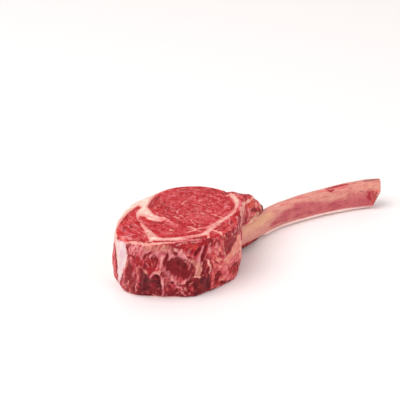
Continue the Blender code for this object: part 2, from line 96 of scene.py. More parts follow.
# Marks laid on the flesh, one after the other: a kind, a strength, and one or more paths. A path is a
# row of points, each with its half width last. A point without one has the half width of the point
# before. A path with no heights runs through the whole thickness and shows on both cut faces.
MARKS = (
    ("dark", 0.5, ((-28.2, 31.3, 3), (-20.9, 38.7), (-13.6, 44))),
    ("dark", 0.6, ((-47.4, 17.3, 0.9), (-49, 10.5), (-49.2, 4.1), (-48.6, -0.6))),
    ("dark", 0.5, ((-40.5, 6.5, 1.4), (-35.9, 1.3), (-31.9, -4.8), (-27.8, -10.7))),
    ("film", 0.8, ((-27.7, 2.7, 1.2), (-26, -3.8, 1), (-25.3, -10, 0.8))),
    ("fat", 1, ((-26.2, -5.3, 0.9), (-24.9, -10.2, 0.7))),
    ("film", 0.8, ((-23.8, 7.9, 0.7), (-22, 3.3))),
    ("fat", 1, ((-17.5, 1.8, 0.6), (-15.7, -3.6, 0.8)), ((-11.4, 8.7, 0.8), (-12.7, 5.5, 0.6))),
    ("dark", 0.4, ((-7.5, 13.6, 0.7), (-12.2, 10.4), (-15.8, 4.7), (-14.7, 1, 0.6))),
    ("film", 0.7, ((-7.1, 11.6, 0.6), (-11.4, 8.7), (-13.6, 4.7), (-13, 0.9))),
    ("pale", 0.6, ((-11.6, 0.7, 0.8), (-11.4, -3.6, 0.6)), ((0.1, 19, 0.6), (4.1, 22), (8.4, 22.8))),
    ("fat", 1, ((17.6, 17.4, 0.7), (20, 14.8, 0.6))),
    ("film", 0.6, ((12.3, 44.1, 0.7), (17.9, 38)), ((39.5, 29, 0.8), (40.5, 26.8))),
    ("film", 0.5, ((23.6, 41.9, 0.7), (24.8, 40.1))),
    ("film", 0.9, ((39.1, 1.6, 0.9), (41.5, -0.1))),
    ("pale", 0.5, ((8.2, 13.9, 0.6), (13.2, 7.3))),
    ("pale", 0.6, ((-7.2, 31.6, 0.6), (-4.1, 26.2))),
    ("pale", 0.5, ((-0.4, 2.1, 0.7), (-5.6, -0.3))),
    ("pale", 0.6, ((-10, -7.8, 0.5), (-7.9, -11.6), (-8.7, -16.5), (-8.9, -21.4, 0.7)), ((7, -3.9, 0.7),
     (9.7, -8.6))),
    ("fat", 1, ((14.7, -11.1, 0.5), (17, -15.6, 0.7), (19.2, -19.2), (20.9, -23.7, 0.9))),
    ("dark", 0.5, ((14.1, -18.5, 0.8), (17.6, -23.6))),
    ("pale", 0.5, ((7.3, 4.8, 0.6), (9.8, -0.2))),
    ("film", 0.5, ((-0.2, 14.7, 0.6), (2.4, 10.4))),
    ("film", 0.6, ((14.2, -4, 0.5), (17.4, -7.9))),
    ("film", 0.5, ((-14.8, 20, 0.6), (-14.2, 14.1)), ((36.4, 10.1, 0.6), (38.7, 6.4)), ((14.5, 3.9, 0.5),
     (21.2, 0.1), (28.9, -1.9), (34.7, -5.3))),
    ("film", 0.4, ((13.4, -3.5, 0.5), (19.8, -7.5), (28.2, -8.5), (35, -10.2))),
    ("film", 0.5, ((33.1, -6, 0.8), (38.3, -6.8))),
    ("film", 0.4, ((9.1, -14.1, 0.5), (11.6, -20.9), (13.9, -24.1))),
    ("pale", 0.7, ((-33.1, -16.4, 1.1), (-31.2, -18.6))),
    ("pale", 0.6, ((-16.5, -20.8, 0.8), (-14.1, -21.2), (-13.1, -24), (-12.5, -27.4)), ((-21, -28.3, 0.9),
     (-16.4, -27.7), (-12.5, -28.4), (-10.4, -31.9, 0.7))),
    ("fat", 1, ((-8.8, -27.6, 0.7), (-4.3, -29), (0.8, -29.5, 1))),
    ("dark", 0.6, ((-8.4, -21.5, 0.7), (-3.3, -23.8), (-0.9, -23.4)), ((-9.9, -29.3, 0.7), (-3.5, -33, 1))),
    ("dark", 0.5, ((20.3, 6, 1), (20.1, 4.7)), ((31, 30.3, 0.9), (31.7, 29.4))),
    ("dark", 0.6, ((31.9, 22.3, 0.9), (32, 21.5)), ((42.2, -5.7, 0.9), (39.1, -11.9))),
    ("dark", 0.4, ((29.8, -16.5, 1.2), (34.9, -15.7))),
    ("dark", 0.5, ((-43.5, -6.7, 1), (-47.2, -9.7), (-46.2, -13.5, 0.8))),
    ("dark", 0.6, ((-48.8, -3, 0.7), (-47.6, -6.6), (-47, -13), (-47.5, -19.8), (-43.6, -24),
     (-37.5, -27.9))),
    ("bright", 0.6, ((-45.2, 15.6, 2), (-43.9, 8.2)), ((44.7, -0.4, 1.6), (43.4, -4.2))),
    ("pink", 0.5, ((-44.9, -13.1, 2.6), (-39.9, -19.2), (-29.6, -24.9, 1.6))),
    ("pink", 0.4, ((-3.5, -5.9, 4.5), (2.9, -11.7), (5.6, -16.3))),
    ("pink", 0.3, ((6.7, 0.2, 4), (10.7, -9.8), (11.5, -17.5, 3))),
    ("bright", 0.4, ((-45.5, 31.1, 3), (-58.8, 21.8, 5), (-68.6, 10.7, 6), (-75, 2.2, 5))),
    ("bright", 0.9, ((-72.9, 9.4, 2.6), (-76.9, 2.6))),
    ("bright", 0.5, ((-61.2, 21.2, 1.8), (-64.1, 17.6))),
    ("dark", 0.5, ((-64.9, 19.2, 1), (-55.9, 27.6), (-47.5, 33.5), (-39.5, 34.6, 0.6))),
    ("dark", 0.6, ((-59.1, 11.1, 1), (-62.1, 6.2))),
    ("dark", 0.5, ((-66.2, 10.4, 1.4), (-70.8, 4.4, 1.2)), ((-72.6, -7.1, 1.1), (-70.6, -8.1))),
    ("dark", 0.4, ((-64.6, -10.3, 0.9), (-58.7, -12.9)), ((-65.8, -15.5, 0.9), (-63.4, -20.7))),
    ("film", 0.6, ((-70.8, -4.6, 1), (-67.7, -5.5))),
    ("film", 0.5, ((-68, -11.9, 0.8), (-63.4, -12.9))),
    ("pink", 0.8, ((-76.3, -3.4, 2), (-74, -9.8, 2.8), (-70.2, -14.2, 2.4), (-65.6, -15.2, 1.6))),
    ("film", 0.8, ((-73.8, -3.5, 0.8), (-69.9, -9.7, 0.9))),
    ("film", 0.7, ((-68.6, -1.2, 0.7), (-64.3, -6.9))),
    ("dark", 0.6, ((-75.3, -10.3, 0.7), (-69, -15.8))),
    ("film", 0.5, ((-63.9, 14, 0.9), (-63.3, 11)), ((-56.7, 10.7, 0.9), (-57, 7.1)), ((-70.4, 10.4, 0.7),
     (-71.1, 5.9))),
    ("film", 0.4, ((-65.5, 0.8, 0.7), (-59.9, -0.3)), ((-60.3, -5, 0.7), (-57.7, -9.9))),
    ("fat", 1, ((-56.9, -14.2, 1.6), (-55.9, -20, 0.8))),
    ("tan", 0.6, ((-52.3, -10.6, 2), (-52.5, -16.7, 2.4))),
    ("pink", 0.4, ((-46.9, 20.4, 1.6), (-49.8, 8.8), (-51.6, -3.6))),
    ("pink", 0.3, ((-51, -3.2, 1.4), (-50.4, -9.7, 1.6))),
    ("lean", 1, ((-45.6, -7.5, 1.6), (-46.2, -13.5, 2.4), (-46.3, -20.1, 2.2))),
    ("lean", 0.7, ((-55.1, -5.9, 1), (-57.1, -16.6, 1.2))),
    ("fat", 1, ((-44.4, 21.9, 1.4), (-39.6, 18, 1.8), (-38.9, 11.4, 3), (-36.1, 6.9, 2.6),
     (-33, 2.7, 1.8))),
    ("lean", 1, ((-30.2, 24.4, 1), (-29.9, 18.2, 2.2), (-29.2, 13.6, 2), (-27.5, 8.9, 1.8))),
    ("bright", 0.8, ((-47.4, 16.2, 1.6), (-44.3, 14.5, 2), (-43.7, 9.6, 2.4), (-42.6, 4.6, 1.8))),
    ("dark", 0.5, ((-41.9, 6, 0.8), (-38.3, 0.9, 0.9), (-33.5, -3.8, 0.8))),
    ("pink", 0.8, ((-30.2, 4, 2.4), (-27.7, -1.1, 2.6), (-26.2, -7.8, 2.4), (-24.1, -13.5, 1.6))),
    ("lean", 0.8, ((-30.4, -0.2, 1.2), (-27.7, -6.9, 1))),
    ("lean", 0.9, ((-24.4, -2.2, 0.9), (-23.1, -8, 1))),
    ("film", 0.6, ((-27.6, 1, 0.7), (-25.4, -8.3))),
    ("pink", 0.6, ((-31.4, 5.6, 1.2), (-27.4, -2.5, 1.4), (-24, -11.5))),
    ("lean", 0.8, ((-27.6, -12.3, 1), (-23.9, -18.8, 1.2))),
    ("lean", 1, ((64.7, 14.9, 2.6), (62, 5.8, 3.6), (54.8, -5.6, 3.4), (49, -11.7, 2.6))),
    ("pink", 0.9, ((63.6, 17.1, 1.6), (56.6, 2.5, 1.8), (50.6, -7.3), (42.9, -16.2, 1.6))),
    ("fat", 1, ((51.3, 17.2, 1.8), (52.9, 12.3, 3), (52.3, 4.2))),
    ("film", 0.6, ((57.2, 24.4, 0.8), (59.7, 19.1))),
    ("tan", 0.2, ((48.2, -2.2, 1.6), (43, -12))),
    ("pink", 0.5, ((31.1, -16.3, 1), (39.2, -13.6, 1.4))),
    ("pink", 0.35, ((39, -15.7, 2.4), (28.3, -20.8, 2.8), (18, -24.7), (6.7, -28.8, 2.6),
     (-1.6, -31.7, 2.4))),
    ("pink", 0.25, ((-10.3, -42.4, 2), (-19, -39.3), (-31.1, -34.9), (-44, -28.3))),
    ("film", 0.7, ((64.3, 10.7, 1), (56.5, -2.6))),
    ("lean", 1, ((56, 0, 60, 3), (56, 12, 60), (52, 24, 60))),
    ("film", 0.8, ((56.5, -2, 54, 2), (57, 8, 53, 3), (55, 20, 53))),
    ("fat", 1, ((-61.1, -22.1, 0.6), (-55.6, -23.2, 1), (-48.9, -25.9), (-42.1, -28.6),
     (-34.4, -33.3, 1.2))),
    ("dark", 0.6, ((-61.6, -24.9, 0.9), (-57.1, -25.9), (-50.4, -28.7), (-43.5, -31.1), (-37.4, -35, 0.7))),
    ("fat", 1, ((-63.7, -25.9, 1), (-58.2, -28.1), (-51.4, -30.5), (-45, -33.7), (-39.8, -35.5, 0.8))),
    ("dark", 0.6, ((-39.6, -37, 1.4), (-33.6, -39.2), (-26.4, -41.1), (-17.6, -43.9), (-12.2, -45.6, 1))),
    ("film", 0.6, ((-33, -36.4, 0.8), (-23.5, -39.7), (-11.6, -44.5))),
    ("dark", 0.7, ((-27.3, -35.6, 1.2), (-18.9, -39.1), (-14.4, -42.2))),
    ("dark", 0.4, ((-11.2, -41.5, 0.9), (-10.7, -43.8))),
    ("fat", 1, ((-2.9, -34.9, 1.3), (-8.6, -43.6, 0.8), (-10.1, -46.2))),
    ("bright", 0.9, ((28.6, -24.7, 2), (31.4, -28.1))),
    ("dark", 0.6, ((24, -31, 1.6), (22, -36.4))),
    ("dark", 0.7, ((14.1, -37.8, 1.4), (17.5, -41))),
    ("dark", 0.5, ((10.7, -34.5, 1.6), (5.5, -36))),
    ("film", 0.8, ((25.1, -27.9, 0.6), (20, -33.8), (19.9, -38.4), (23.5, -39.7)), ((33.5, -25.9, 0.9),
     (29.9, -33.9))),
    ("film", 0.6, ((18.6, -26.6, 0.6), (17.2, -33.6)), ((8.3, -39.4, 0.7), (13.6, -43.1))),
    ("fat", 1, ((-0.7, -34.6, 1), (2.5, -39), (4.6, -45.2, 1.7)), ((16.9, -43.1, 0.7), (17.9, -42.4)),
     ((22.3, -39.6, 0.7), (24.3, -37.8)), ((18.6, -42.4, 0.6), (20.3, -41.3)), ((7.9, -46.9, 0.7),
     (9, -46.8))),
    ("lean", 1, ((-77, 10, 47, 1.6), (-75.5, 15, 40, 7.5), (-75, 17, 28, 11), (-74.5, 14, 12, 9),
     (-74, 6, 4, 4))),
    ("pink", 0.8, ((-75, 16, 38, 4), (-75, 15, 26, 6), (-74.5, 13, 14, 4))),
    ("rise", 0.55, ((-75, 18, 22, 10), (-74, 19, 14, 9))),
    ("dark", 0.6, ((-77.8, 8, 46, 1.2), (-77.8, 6.5, 32, 1.7), (-77, 8, 18, 1.9), (-75.4, 8, 8, 1.4))),
    ("lean", 1, ((-75.2, -17.1, 49.9, 1.4), (-75.8, -15.1, 40.4, 2.8), (-77.3, -11.5, 29.2, 4.6),
     (-76.2, -2.8, 13.8, 5), (-74.4, 3.1, 2.7, 4)), ((-74.7, -0.4, 5.2, 3), (-73.6, -4.2, 3.6),
     (-74.8, -9.2, 11.5, 2.4))),
    ("white", 1, ((-77.6, -9.9, 59.1, 4.2), (-77.9, -10.1, 53.5, 4.9), (-78.5, -9.7, 44.9, 4.6),
     (-79, -7.8, 34.2, 3.9), (-77.3, -0.6, 21.9, 2.6), (-75.4, 7.1, 9, 1.8), (-74.5, 8.6, 3.3, 1)),
     ((-79.3, -1.9, 58, 1.9), (-79.6, -2.6, 48.9, 2), (-78.6, 0.2, 34, 1.7), (-77.1, 4.9, 19.9, 1.1))),
    ("bright", 1, ((-78.2, 1.3, 60.3, 0.7), (-77.5, -4.2, 61.3, 1.3), (-76.2, -8.9, 61.4, 1.6),
     (-74.9, -12.4, 61.6, 1.2))),
    ("pink", 0.6, ((-77.7, -3.5, 61.2, 0.7), (-76.6, -8.9, 61.3, 0.9), (-75.4, -12.5, 61.4, 0.8))),
    ("tan", 0.5, ((-75.8, -15.3, 57.1, 0.8), (-76, -15.4, 49.2, 1), (-76.4, -13.9, 41.1, 0.9),
     (-77.3, -12, 34.5, 0.8))),
    ("pink", 0.7, ((-78.2, -10.5, 32.2, 1.4), (-77.4, -7.2, 22.4, 2), (-75.4, 1, 8, 1.6))),
    ("maroon", 0.6, ((-73.8, -18.8, 56.8, 2.6), (-71.2, -21.6, 57.9, 3.6), (-68.8, -24, 56.9, 2.8))),
    ("film", 0.7, ((-74, -18.5, 57.7, 2.4), (-71.5, -21.3, 58.8, 3.2), (-68.9, -23.9, 58.4, 2.6))),
    ("film", 0.5, ((-73.9, -18.9, 54.2, 2.2), (-71.4, -21.7, 54, 2.8), (-69.1, -24, 54.3, 2.2))),
    ("dark", 0.5, ((-74.2, -18.4, 57.1, 0.6), (-71.4, -20.3, 60.6)), ((-71.1, -22, 53.8, 0.6),
     (-68.7, -23.9, 59.2))),
    ("film", 0.8, ((-66.1, -25.3, 60.5, 0.8), (-66.4, -26.3, 57.3, 0.9), (-67.4, -25.8, 53.2),
     (-68.4, -24.7, 49.3, 0.7))),
    ("rise", 0.6, ((-73.2, -19.6, 55.9, 5), (-70.3, -22.7, 56.1))),
    ("pale", 0.5, ((-73.2, -19.6, 54.9, 0.6), (-69.9, -22, 60.2)), ((-72.3, -20.7, 52.4, 0.6),
     (-69.7, -23.1, 57.4))),
    ("dark", 0.4, ((-73.5, -19.3, 53.8, 0.6), (-70.7, -22, 59))),
    ("dark", 0.7, ((-75.6, -16.1, 51.2, 0.9), (-74.4, -18.4, 50.4, 1.1), (-72.5, -20.5, 49.4, 1.2),
     (-71.1, -22, 48.5, 1))),
    ("pink", 0.6, ((-68.3, -24.8, 55.1, 1.2), (-67.7, -25.4, 51))),
    ("dark", 0.6, ((-75.7, -16, 49.5, 1.2), (-75.5, -15.8, 41.8, 1.3), (-75.1, -15.3, 34.9, 1.6),
     (-75.9, -12.4, 24.8, 2), (-75.9, -7.6, 14.3, 1.8))),
    ("dark", 0.5, ((-74.6, -17, 37.9, 2), (-73.7, -16.5, 29.7, 2.4), (-74, -13.7, 19.4))),
    ("pink", 0.6, ((-74.3, -18.4, 48.3, 1), (-74.1, -18.2, 40.5, 1.2))),
    ("bright", 0.7, ((-69.8, -23.3, 48.4, 2.4), (-68.4, -24.3, 42.4))),
    ("bright", 0.6, ((-72.6, -20.4, 47, 1.2), (-71.1, -21.6, 41.4))),
    ("pink", 0.7, ((-72.4, -20.2, 42.6, 0.7), (-71.3, -21.1, 36.9, 1.1), (-70.2, -21, 29.9, 1.3),
     (-69.4, -20, 22.5, 0.9))),
    ("pale", 0.5, ((-70.9, -21.1, 35.1, 0.5), (-69.8, -20.9, 27.6, 0.7))),
    ("dark", 0.6, ((-69.2, -23, 37.7, 1), (-68.2, -23.1, 32.6, 1.4))),
    ("maroon", 0.9, ((-65.2, -25.2, 30.7, 2.4), (-64.5, -23.6, 21.8, 4.4), (-62.3, -22.5, 12.6, 3.6))),
    ("maroon", 0.8, ((-67, -20.4, 17.5, 2), (-65.1, -18.5, 8, 2.4))),
    ("film", 0.4, ((-75.6, -10.5, 17, 0.6), (-74.4, -9.3, 10.3))),
    ("film", 0.5, ((-73, -13.4, 16.7, 0.6), (-71.8, -12.7, 9.1))),
    ("film", 0.6, ((-70.4, -16.8, 16.6, 0.8), (-68.9, -14.9, 7.6))),
    ("dark", 0.6, ((-71.7, -15.5, 17.4, 0.7), (-70.3, -13.1, 6.5)), ((-74.6, -13.2, 20.4, 0.8),
     (-73.4, -11.2, 9.9))),
    ("pink", 0.5, ((-75.4, -1.2, 9.3, 1.4), (-73.5, -6.3, 4.8, 1.2), (-69.4, -10.2, 1.2, 1))),
    # Painted shade: a dark line along the bottom edge of the wall.
    ("dark", 0.6, ((-74, -5.2, 5.5, 1.4), (-70.6, -10.7, 2.5, 1.6), (-64, -16.1, 1.6),
     (-56.4, -21.5, 1.5))),
    ("film", 0.7, ((-66, -26.4, 58.8, 1.4), (-65.6, -27.3, 54.4, 1.6))),
    ("tan", 0.6, ((-64.9, -27, 59.4, 2.2), (-61.3, -29.8, 57.6, 3.2), (-55.5, -32.3, 57.6, 4),
     (-50.5, -34.3, 57.6, 4.2), (-45.6, -36.5, 57.2, 3.2))),
    ("film", 0.8, ((-63.8, -28.5, 55.6, 2), (-60, -30.8, 52.4, 2.2), (-56.6, -32.1, 54.1, 2.6))),
    ("film", 0.7, ((-53.2, -33.5, 52.7, 3), (-49.1, -35.1, 50.6, 2.4), (-45.2, -36.8, 52.4, 2.2))),
    ("olive", 0.25, ((-52.5, -33.4, 59.2, 2.4), (-49.2, -34.7, 59.3))),
    ("olive", 0.2, ((-65.1, -26.6, 59.6, 1.6), (-64.3, -27.8, 57.5))),
    ("film", 0.6, ((-66.7, -26.4, 53.3, 0.9), (-67.8, -25.3, 47.7, 1))),
    ("dark", 0.9, ((-62.2, -29.7, 54.7, 1), (-63.9, -28.7, 51.9), (-65.8, -27, 48.6, 1.4)),
     ((-61.1, -30.7, 45.9, 1.8), (-58.5, -31.7, 48.6, 2), (-56.1, -32.7, 47.3, 1.6), (-56.7, -32.6, 43.3))),
    ("black", 0.6, ((-58.8, -31.5, 48.8, 1.2), (-58.2, -31.8, 48.1))),
    ("film", 0.7, ((-55.1, -32.9, 50.5, 1.2), (-52.9, -33.7, 47.8, 1.6), (-52.2, -33.9, 43, 1.4),
     (-54.1, -33.3, 39.7, 1.2))),
    ("pale", 0.4, ((-52, -34, 48.7, 0.7), (-53.7, -33.5, 43.3))),
    ("dark", 1, ((-47.1, -36, 51, 1), (-48.8, -35.3, 46.5, 1.3), (-50.7, -34.3, 42.1, 1.2))),
    ("film", 0.6, ((-45.5, -36.8, 48.8, 0.8), (-47.7, -35.7, 42.9), (-49.9, -34.6, 38.3, 1))),
    ("bright", 0.9, ((-63.5, -29.4, 45.3, 2.4), (-61.5, -30.2, 39.8, 3.4), (-61.4, -29.3, 32.7, 2.8))),
    ("bright", 0.8, ((-59, -31.5, 42.9, 2.6), (-56.8, -32.6, 38, 2.4))),
    ("tan", 0.6, ((-67.1, -24.9, 38.7, 1.2), (-64.9, -26.4, 34.5, 1.6), (-64.4, -26.4, 32.1, 1))),
    ("film", 0.4, ((-63.7, -29, 44.1, 0.7), (-63.1, -29, 38.6))),
    ("tan", 0.6, ((-59.1, -30.1, 33, 1.2), (-55.3, -32.7, 34.1, 1.6), (-50.3, -34.2, 34.6, 1.4))),
    ("film", 0.5, ((-50.4, -34.3, 37.3, 1.6), (-48, -35.1, 32.5, 1.4))),
    ("black", 0.8, ((-58.8, -30, 27.2, 1.8), (-56.5, -31.9, 28.4, 2), (-53.2, -32.1, 24.3, 1.8))),
    ("maroon", 1, ((-58.5, -28.5, 21.9, 3), (-55, -30.9, 21.2, 3.4), (-53.8, -29.7, 15, 2.8))),
    ("dark", 0.5, ((-58.2, -27.8, 18.7, 1.6), (-55.1, -29.6, 16.5, 1.8))),
    ("dark", 0.7, ((-58.4, -23.6, 8.5, 2.6), (-53.9, -26.9, 7.8))),
    ("film", 0.9, ((-61.1, -28.5, 28.5, 0.8), (-59, -30.6, 31.8, 1.2), (-55.8, -32.4, 32.6, 1.4),
     (-53.1, -33, 29.6, 1.3), (-50.8, -33.1, 23.6, 1.2), (-49.8, -31.6, 13.6, 1.1), (-47.7, -28.2, 1.9))),
    ("pale", 0.4, ((-57.1, -32.1, 32.9, 0.9), (-53.1, -33, 29.4, 1), (-50.6, -33.1, 22.4),
     (-49.4, -31.2, 11, 0.9))),
    ("film", 0.6, ((-52.6, -30, 14, 0.6), (-54, -26.8, 7.8), (-54.5, -23.1, 1.8))),
    ("film", 0.8, ((-41.7, -37.9, 55.6, 1.8), (-38.3, -39.2, 53.5, 2), (-34.1, -40.9, 48.8, 2.6),
     (-30.2, -43.1, 44), (-26.5, -44.7, 39.8, 2))),
    ("film", 0.7, ((-45.2, -36.8, 53.4, 1.8), (-42.7, -37.7, 49), (-44.6, -37.1, 47, 1.4))),
    ("pale", 0.4, ((-37.6, -39.5, 52.6, 0.7), (-33.3, -41.3, 47.7), (-29.1, -43.7, 42.5))),
    ("pale", 0.3, ((-35.8, -40, 54.2, 0.7), (-31.3, -42.2, 48.8), (-27.8, -44.1, 45.5))),
    ("dark", 0.8, ((-42.4, -37.7, 55.3, 0.9), (-39.1, -39, 50.1), (-36.1, -40.3, 45.9))),
    ("maroon", 1, ((-43.3, -37.5, 43.1, 3), (-39.4, -39.1, 45.3, 2.6), (-33.9, -41.1, 40.9, 3.6),
     (-29.1, -43.7, 36.4))),
    ("black", 0.6, ((-37.9, -39.6, 40.8, 2.6), (-32.8, -41.6, 37.6, 3.4), (-29.3, -43.3, 33, 2.8))),
    ("dark", 0.9, ((-45.3, -36.5, 38.9, 2.4), (-43.3, -36.9, 33.1, 3)), ((-39, -38.9, 31, 3.6),
     (-32.5, -41.3, 26.4, 3.4), (-27.7, -43.8, 26.6, 2.6))),
    ("maroon", 0.9, ((-28.1, -43.7, 30.7, 3), (-26, -44.9, 26.2, 2))),
    ("bright", 0.4, ((-42.9, -37.4, 35.8, 1.6), (-40.7, -38.1, 31.1, 1.8))),
    ("dark", 0.8, ((-47.8, -35.6, 43.6, 1), (-47.3, -35.6, 36.9, 1.3), (-47, -35.2, 30.1, 1.2))),
    ("film", 0.6, ((-46, -35.7, 31.8, 1.4), (-44.2, -35.7, 25.5, 1.8), (-41.5, -36.6, 21.3, 1.4))),
    ("pale", 0.6, ((-43.4, -36.5, 29, 0.8), (-42.5, -36.3, 23.7))),
    ("pink", 0.6, ((-48.5, -34.3, 26.1, 1.6), (-46.2, -34.5, 21.7))),
    ("pink", 0.5, ((-39.5, -37.6, 20.8, 1.6), (-33.7, -40.3, 20.1, 1.8))),
    ("film", 0.9, ((-40.5, -36.8, 18.9, 1), (-36.1, -38.9, 17.9, 1.5), (-31.4, -41.3, 19.6, 1.4),
     (-27.1, -43.7, 22, 1.2), (-24.9, -45.4, 24.4, 0.8))),
    ("pale", 0.4, ((-35.3, -39.4, 18.6, 0.9), (-30.3, -41.8, 20.4, 0.8))),
    ("tan", 0.9, ((-27.7, -44.2, 43.1, 1.8), (-24, -45.8, 40.6, 2.4), (-20.5, -46.4, 36.6, 2.6),
     (-20.2, -46.6, 31.8, 2.4), (-21.7, -46.5, 27.2))),
    ("pale", 0.6, ((-17.2, -46.5, 38.4, 0.8), (-18.2, -46.8, 32.3), (-16.6, -46.6, 25.1, 1),
     (-19.7, -46.7, 23.8, 0.9))),
    ("pale", 0.7, ((-24.5, -45.8, 25.8, 1), (-20.7, -46.6, 24.3, 0.9))),
    ("black", 0.8, ((-21.3, -46.4, 22.4, 0.9), (-21.1, -46.5, 22.2))),
    ("dark", 0.9, ((-25, -45.7, 35.5, 1), (-25, -45.7, 29)), ((-15.2, -46.7, 33.4, 0.8),
     (-16.5, -46.7, 29.5), (-17.3, -46.7, 26, 0.9))),
    ("bright", 0.8, ((-31.8, -40.7, 59.5, 1.6), (-21.7, -43.7, 57.4, 1.8), (-12.3, -45.7, 57.2, 1.4))),
    ("bright", 1, ((-27.3, -42.5, 57.7, 2.2), (-24.2, -43.7, 55.2, 2.8), (-25, -44, 51.8, 2.2))),
    ("tan", 0.5, ((-30.3, -41.7, 57.2, 1.4), (-28.5, -42.9, 54.5, 1.2))),
    ("dark", 0.6, ((-29.6, -42.9, 51.6, 0.9), (-27.8, -43.5, 50.5))),
    ("pink", 0.6, ((-31.5, -41.9, 53.4, 1.2), (-28.9, -43.5, 48.5, 1.4), (-25, -45, 46.1, 1.2))),
    ("dark", 0.6, ((-30.1, -43.1, 47, 0.9), (-26.1, -44.7, 45.2, 1))),
    ("film", 0.7, ((-15.7, -45.3, 54.4, 1), (-17.9, -45.5, 48.8, 1.4), (-20.4, -45.8, 43.3, 1.8))),
    ("film", 0.6, ((-8.5, -46.5, 56, 1.2), (-10.1, -46.8, 48.1))),
    ("dark", 1, ((-17.6, -44.6, 56.2, 1.4), (-20.2, -44.7, 52.4, 1.8), (-22.5, -45, 48.8, 1.5))),
    ("black", 0.5, ((-19.5, -44.6, 53.6, 1), (-22, -44.9, 49.8))),
    ("dark", 1, ((-12.5, -46, 54.4, 1), (-14.4, -46.1, 50.1, 1.5), (-16.1, -46.2, 45.4, 1.6),
     (-16.8, -46.5, 41, 1.1))),
    ("dark", 0.8, ((-11.8, -46.8, 43.5, 0.9), (-14.1, -46.7, 39.2), (-16.3, -46.7, 34.9))),
    ("pale", 0.5, ((-10, -46.5, 53.2, 0.7), (-12.2, -46.7, 46.5), (-13.7, -46.7, 40.6))),
    ("pale", 0.9, ((-11.3, -47, 39, 1.2), (-9.5, -46.8, 35.3, 1.3), (-8.3, -46.7, 30, 1),
     (-8.8, -46.3, 24.5))),
    ("dark", 0.8, ((-12.5, -46.9, 37.5, 0.9), (-13.7, -46.8, 32.3), (-15.5, -46.6, 27.4, 0.8))),
    ("film", 0.6, ((-12.3, -46.9, 33.7, 0.9), (-13.7, -46.5, 26.3, 1))),
    ("dark", 0.7, ((-8.1, -47.1, 39.4, 0.8), (-5.5, -46.4, 31.6), (-4.6, -45.7, 24.9))),
    ("dark", 0.8, ((-10.3, -46.9, 30.4, 0.9), (-10.8, -46.4, 24.1, 1))),
    ("film", 0.5, ((-6.8, -46.7, 39.4, 0.7), (-3.2, -46.2, 32.5), (-2.4, -45.3, 25.1))),
    ("maroon", 1, ((-16.8, -46.3, 19.5, 3.4), (-11, -44.9, 12.2, 4), (-15.8, -44.6, 7),
     (-21.4, -44.1, 4.2, 3))),
    ("maroon", 0.8, ((-9, -45.9, 21, 1.6), (-6.8, -44.1, 11.4, 2), (-8.2, -42.2, 2.8, 1.4))),
    ("black", 0.6, ((-23.1, -45.3, 16.6, 2.6), (-18.9, -45.1, 8.8, 2.8))),
    ("dark", 0.8, ((-27.2, -43.2, 18.4, 1.6), (-30.4, -41.3, 15.7, 1.2))),
    ("black", 0.6, ((-27.7, -42.9, 19.1, 1), (-30.2, -41.4, 16.2))),
    ("pale", 0.6, ((-24.7, -45, 18.8, 0.6), (-27.6, -42.6, 15.5), (-30.2, -41, 12.6))),
    ("dark", 0.7, ((-28.4, -41.4, 9.5, 1.6), (-26.2, -42, 5.1))),
    ("pink", 0.6, ((-4.9, -45.9, 26.2, 0.9), (-4.4, -44.4, 15.2, 1), (-4.1, -42.3, 4.9))),
    ("dark", 0.5, ((-7.4, -46.7, 31.9, 0.7), (-6.1, -45.3, 19.7), (-5.9, -43.5, 8.5))),
    ("film", 0.9, ((-38.6, -37, 14.4, 1), (-36.9, -37.7, 13))),
    ("pale", 0.7, ((-34.9, -38.7, 12.5, 0.7), (-33.3, -39.5, 10.8))),
    ("film", 0.9, ((-35.9, -37.7, 9.3, 0.8), (-33.5, -38.7, 7, 1), (-30.6, -39.6, 4.1, 0.8))),
    ("pale", 0.6, ((-31.6, -40.4, 12.5, 0.7), (-29.9, -40.7, 9.2))),
    ("film", 0.7, ((-28.7, -40.9, 7.1, 0.7), (-27, -41.6, 4.6)), ((-37.9, -35.6, 5.7, 0.7),
     (-35.1, -37.1, 4.2))),
    ("dark", 0.8, ((-35.9, -38.6, 15.4, 0.9), (-33.9, -39.5, 13.9)), ((-32.7, -40.4, 16.2, 1),
     (-29.1, -41.6, 13.9, 1.2))),
    ("black", 1, ((-42.1, -35.9, 18.7, 1.1), (-41.5, -36.2, 18.4))),
    ("film", 0.6, ((-37.8, -38.3, 18.8, 1.4), (-37.4, -38.4, 18.8))),
    ("dark", 0.8, ((-37.8, -38.2, 18.5, 0.8), (-37.6, -38.3, 18.3))),
    ("black", 0.8, ((-38.4, -36.2, 9.3, 1), (-37.9, -36.4, 8.9))),
    ("dark", 0.7, ((-44.8, -33.8, 14.7, 1.4), (-42.7, -33.5, 8.2, 1.8))),
    ("bright", 0.4, ((-45.8, -32.7, 10.6, 1.6), (-45.3, -32.5, 9.2))),
    # Painted shade: a dark line along the bottom edge of the wall.
    ("dark", 0.6, ((-41.4, -33.1, 3.6, 1.4), (-35, -36.8, 2.9, 1.2), (-26.4, -40.5, 1.1, 1.4))),
    ("calm", 1, ((-2.7, -47.5, 56.8, 4), (45.6, -15.6, 27)), ((-4.6, -47.2, 48.7, 6), (54, -3.4, 8.7)),
     ((-5.2, -46.6, 35.6, 6), (41.5, -20.7, 10.4)), ((-3, -44.9, 20.6, 6), (31.3, -30.1, 7.5)),
     ((-1.5, -42.7, 9.9, 4), (19.8, -37.3, 6.2)), ((62.6, 1.7, 51.7, 8), (67.8, 2, 43.2),
     (79.5, 12.4, 45.1, 9))),
    ("pale", 0.6, ((-5.3, -47.2, 48.9, 0.7), (-1.3, -47.2, 43.7), (3, -47.3, 43.4)),
     ((-2.5, -46.7, 38.6, 0.7), (1.6, -46.7, 39.2), (4.5, -46, 34.6))),
    ("pale", 0.5, ((-5.2, -46.6, 35.6, 0.7), (-0.7, -46.4, 35.4), (3.4, -45.1, 29.7))),
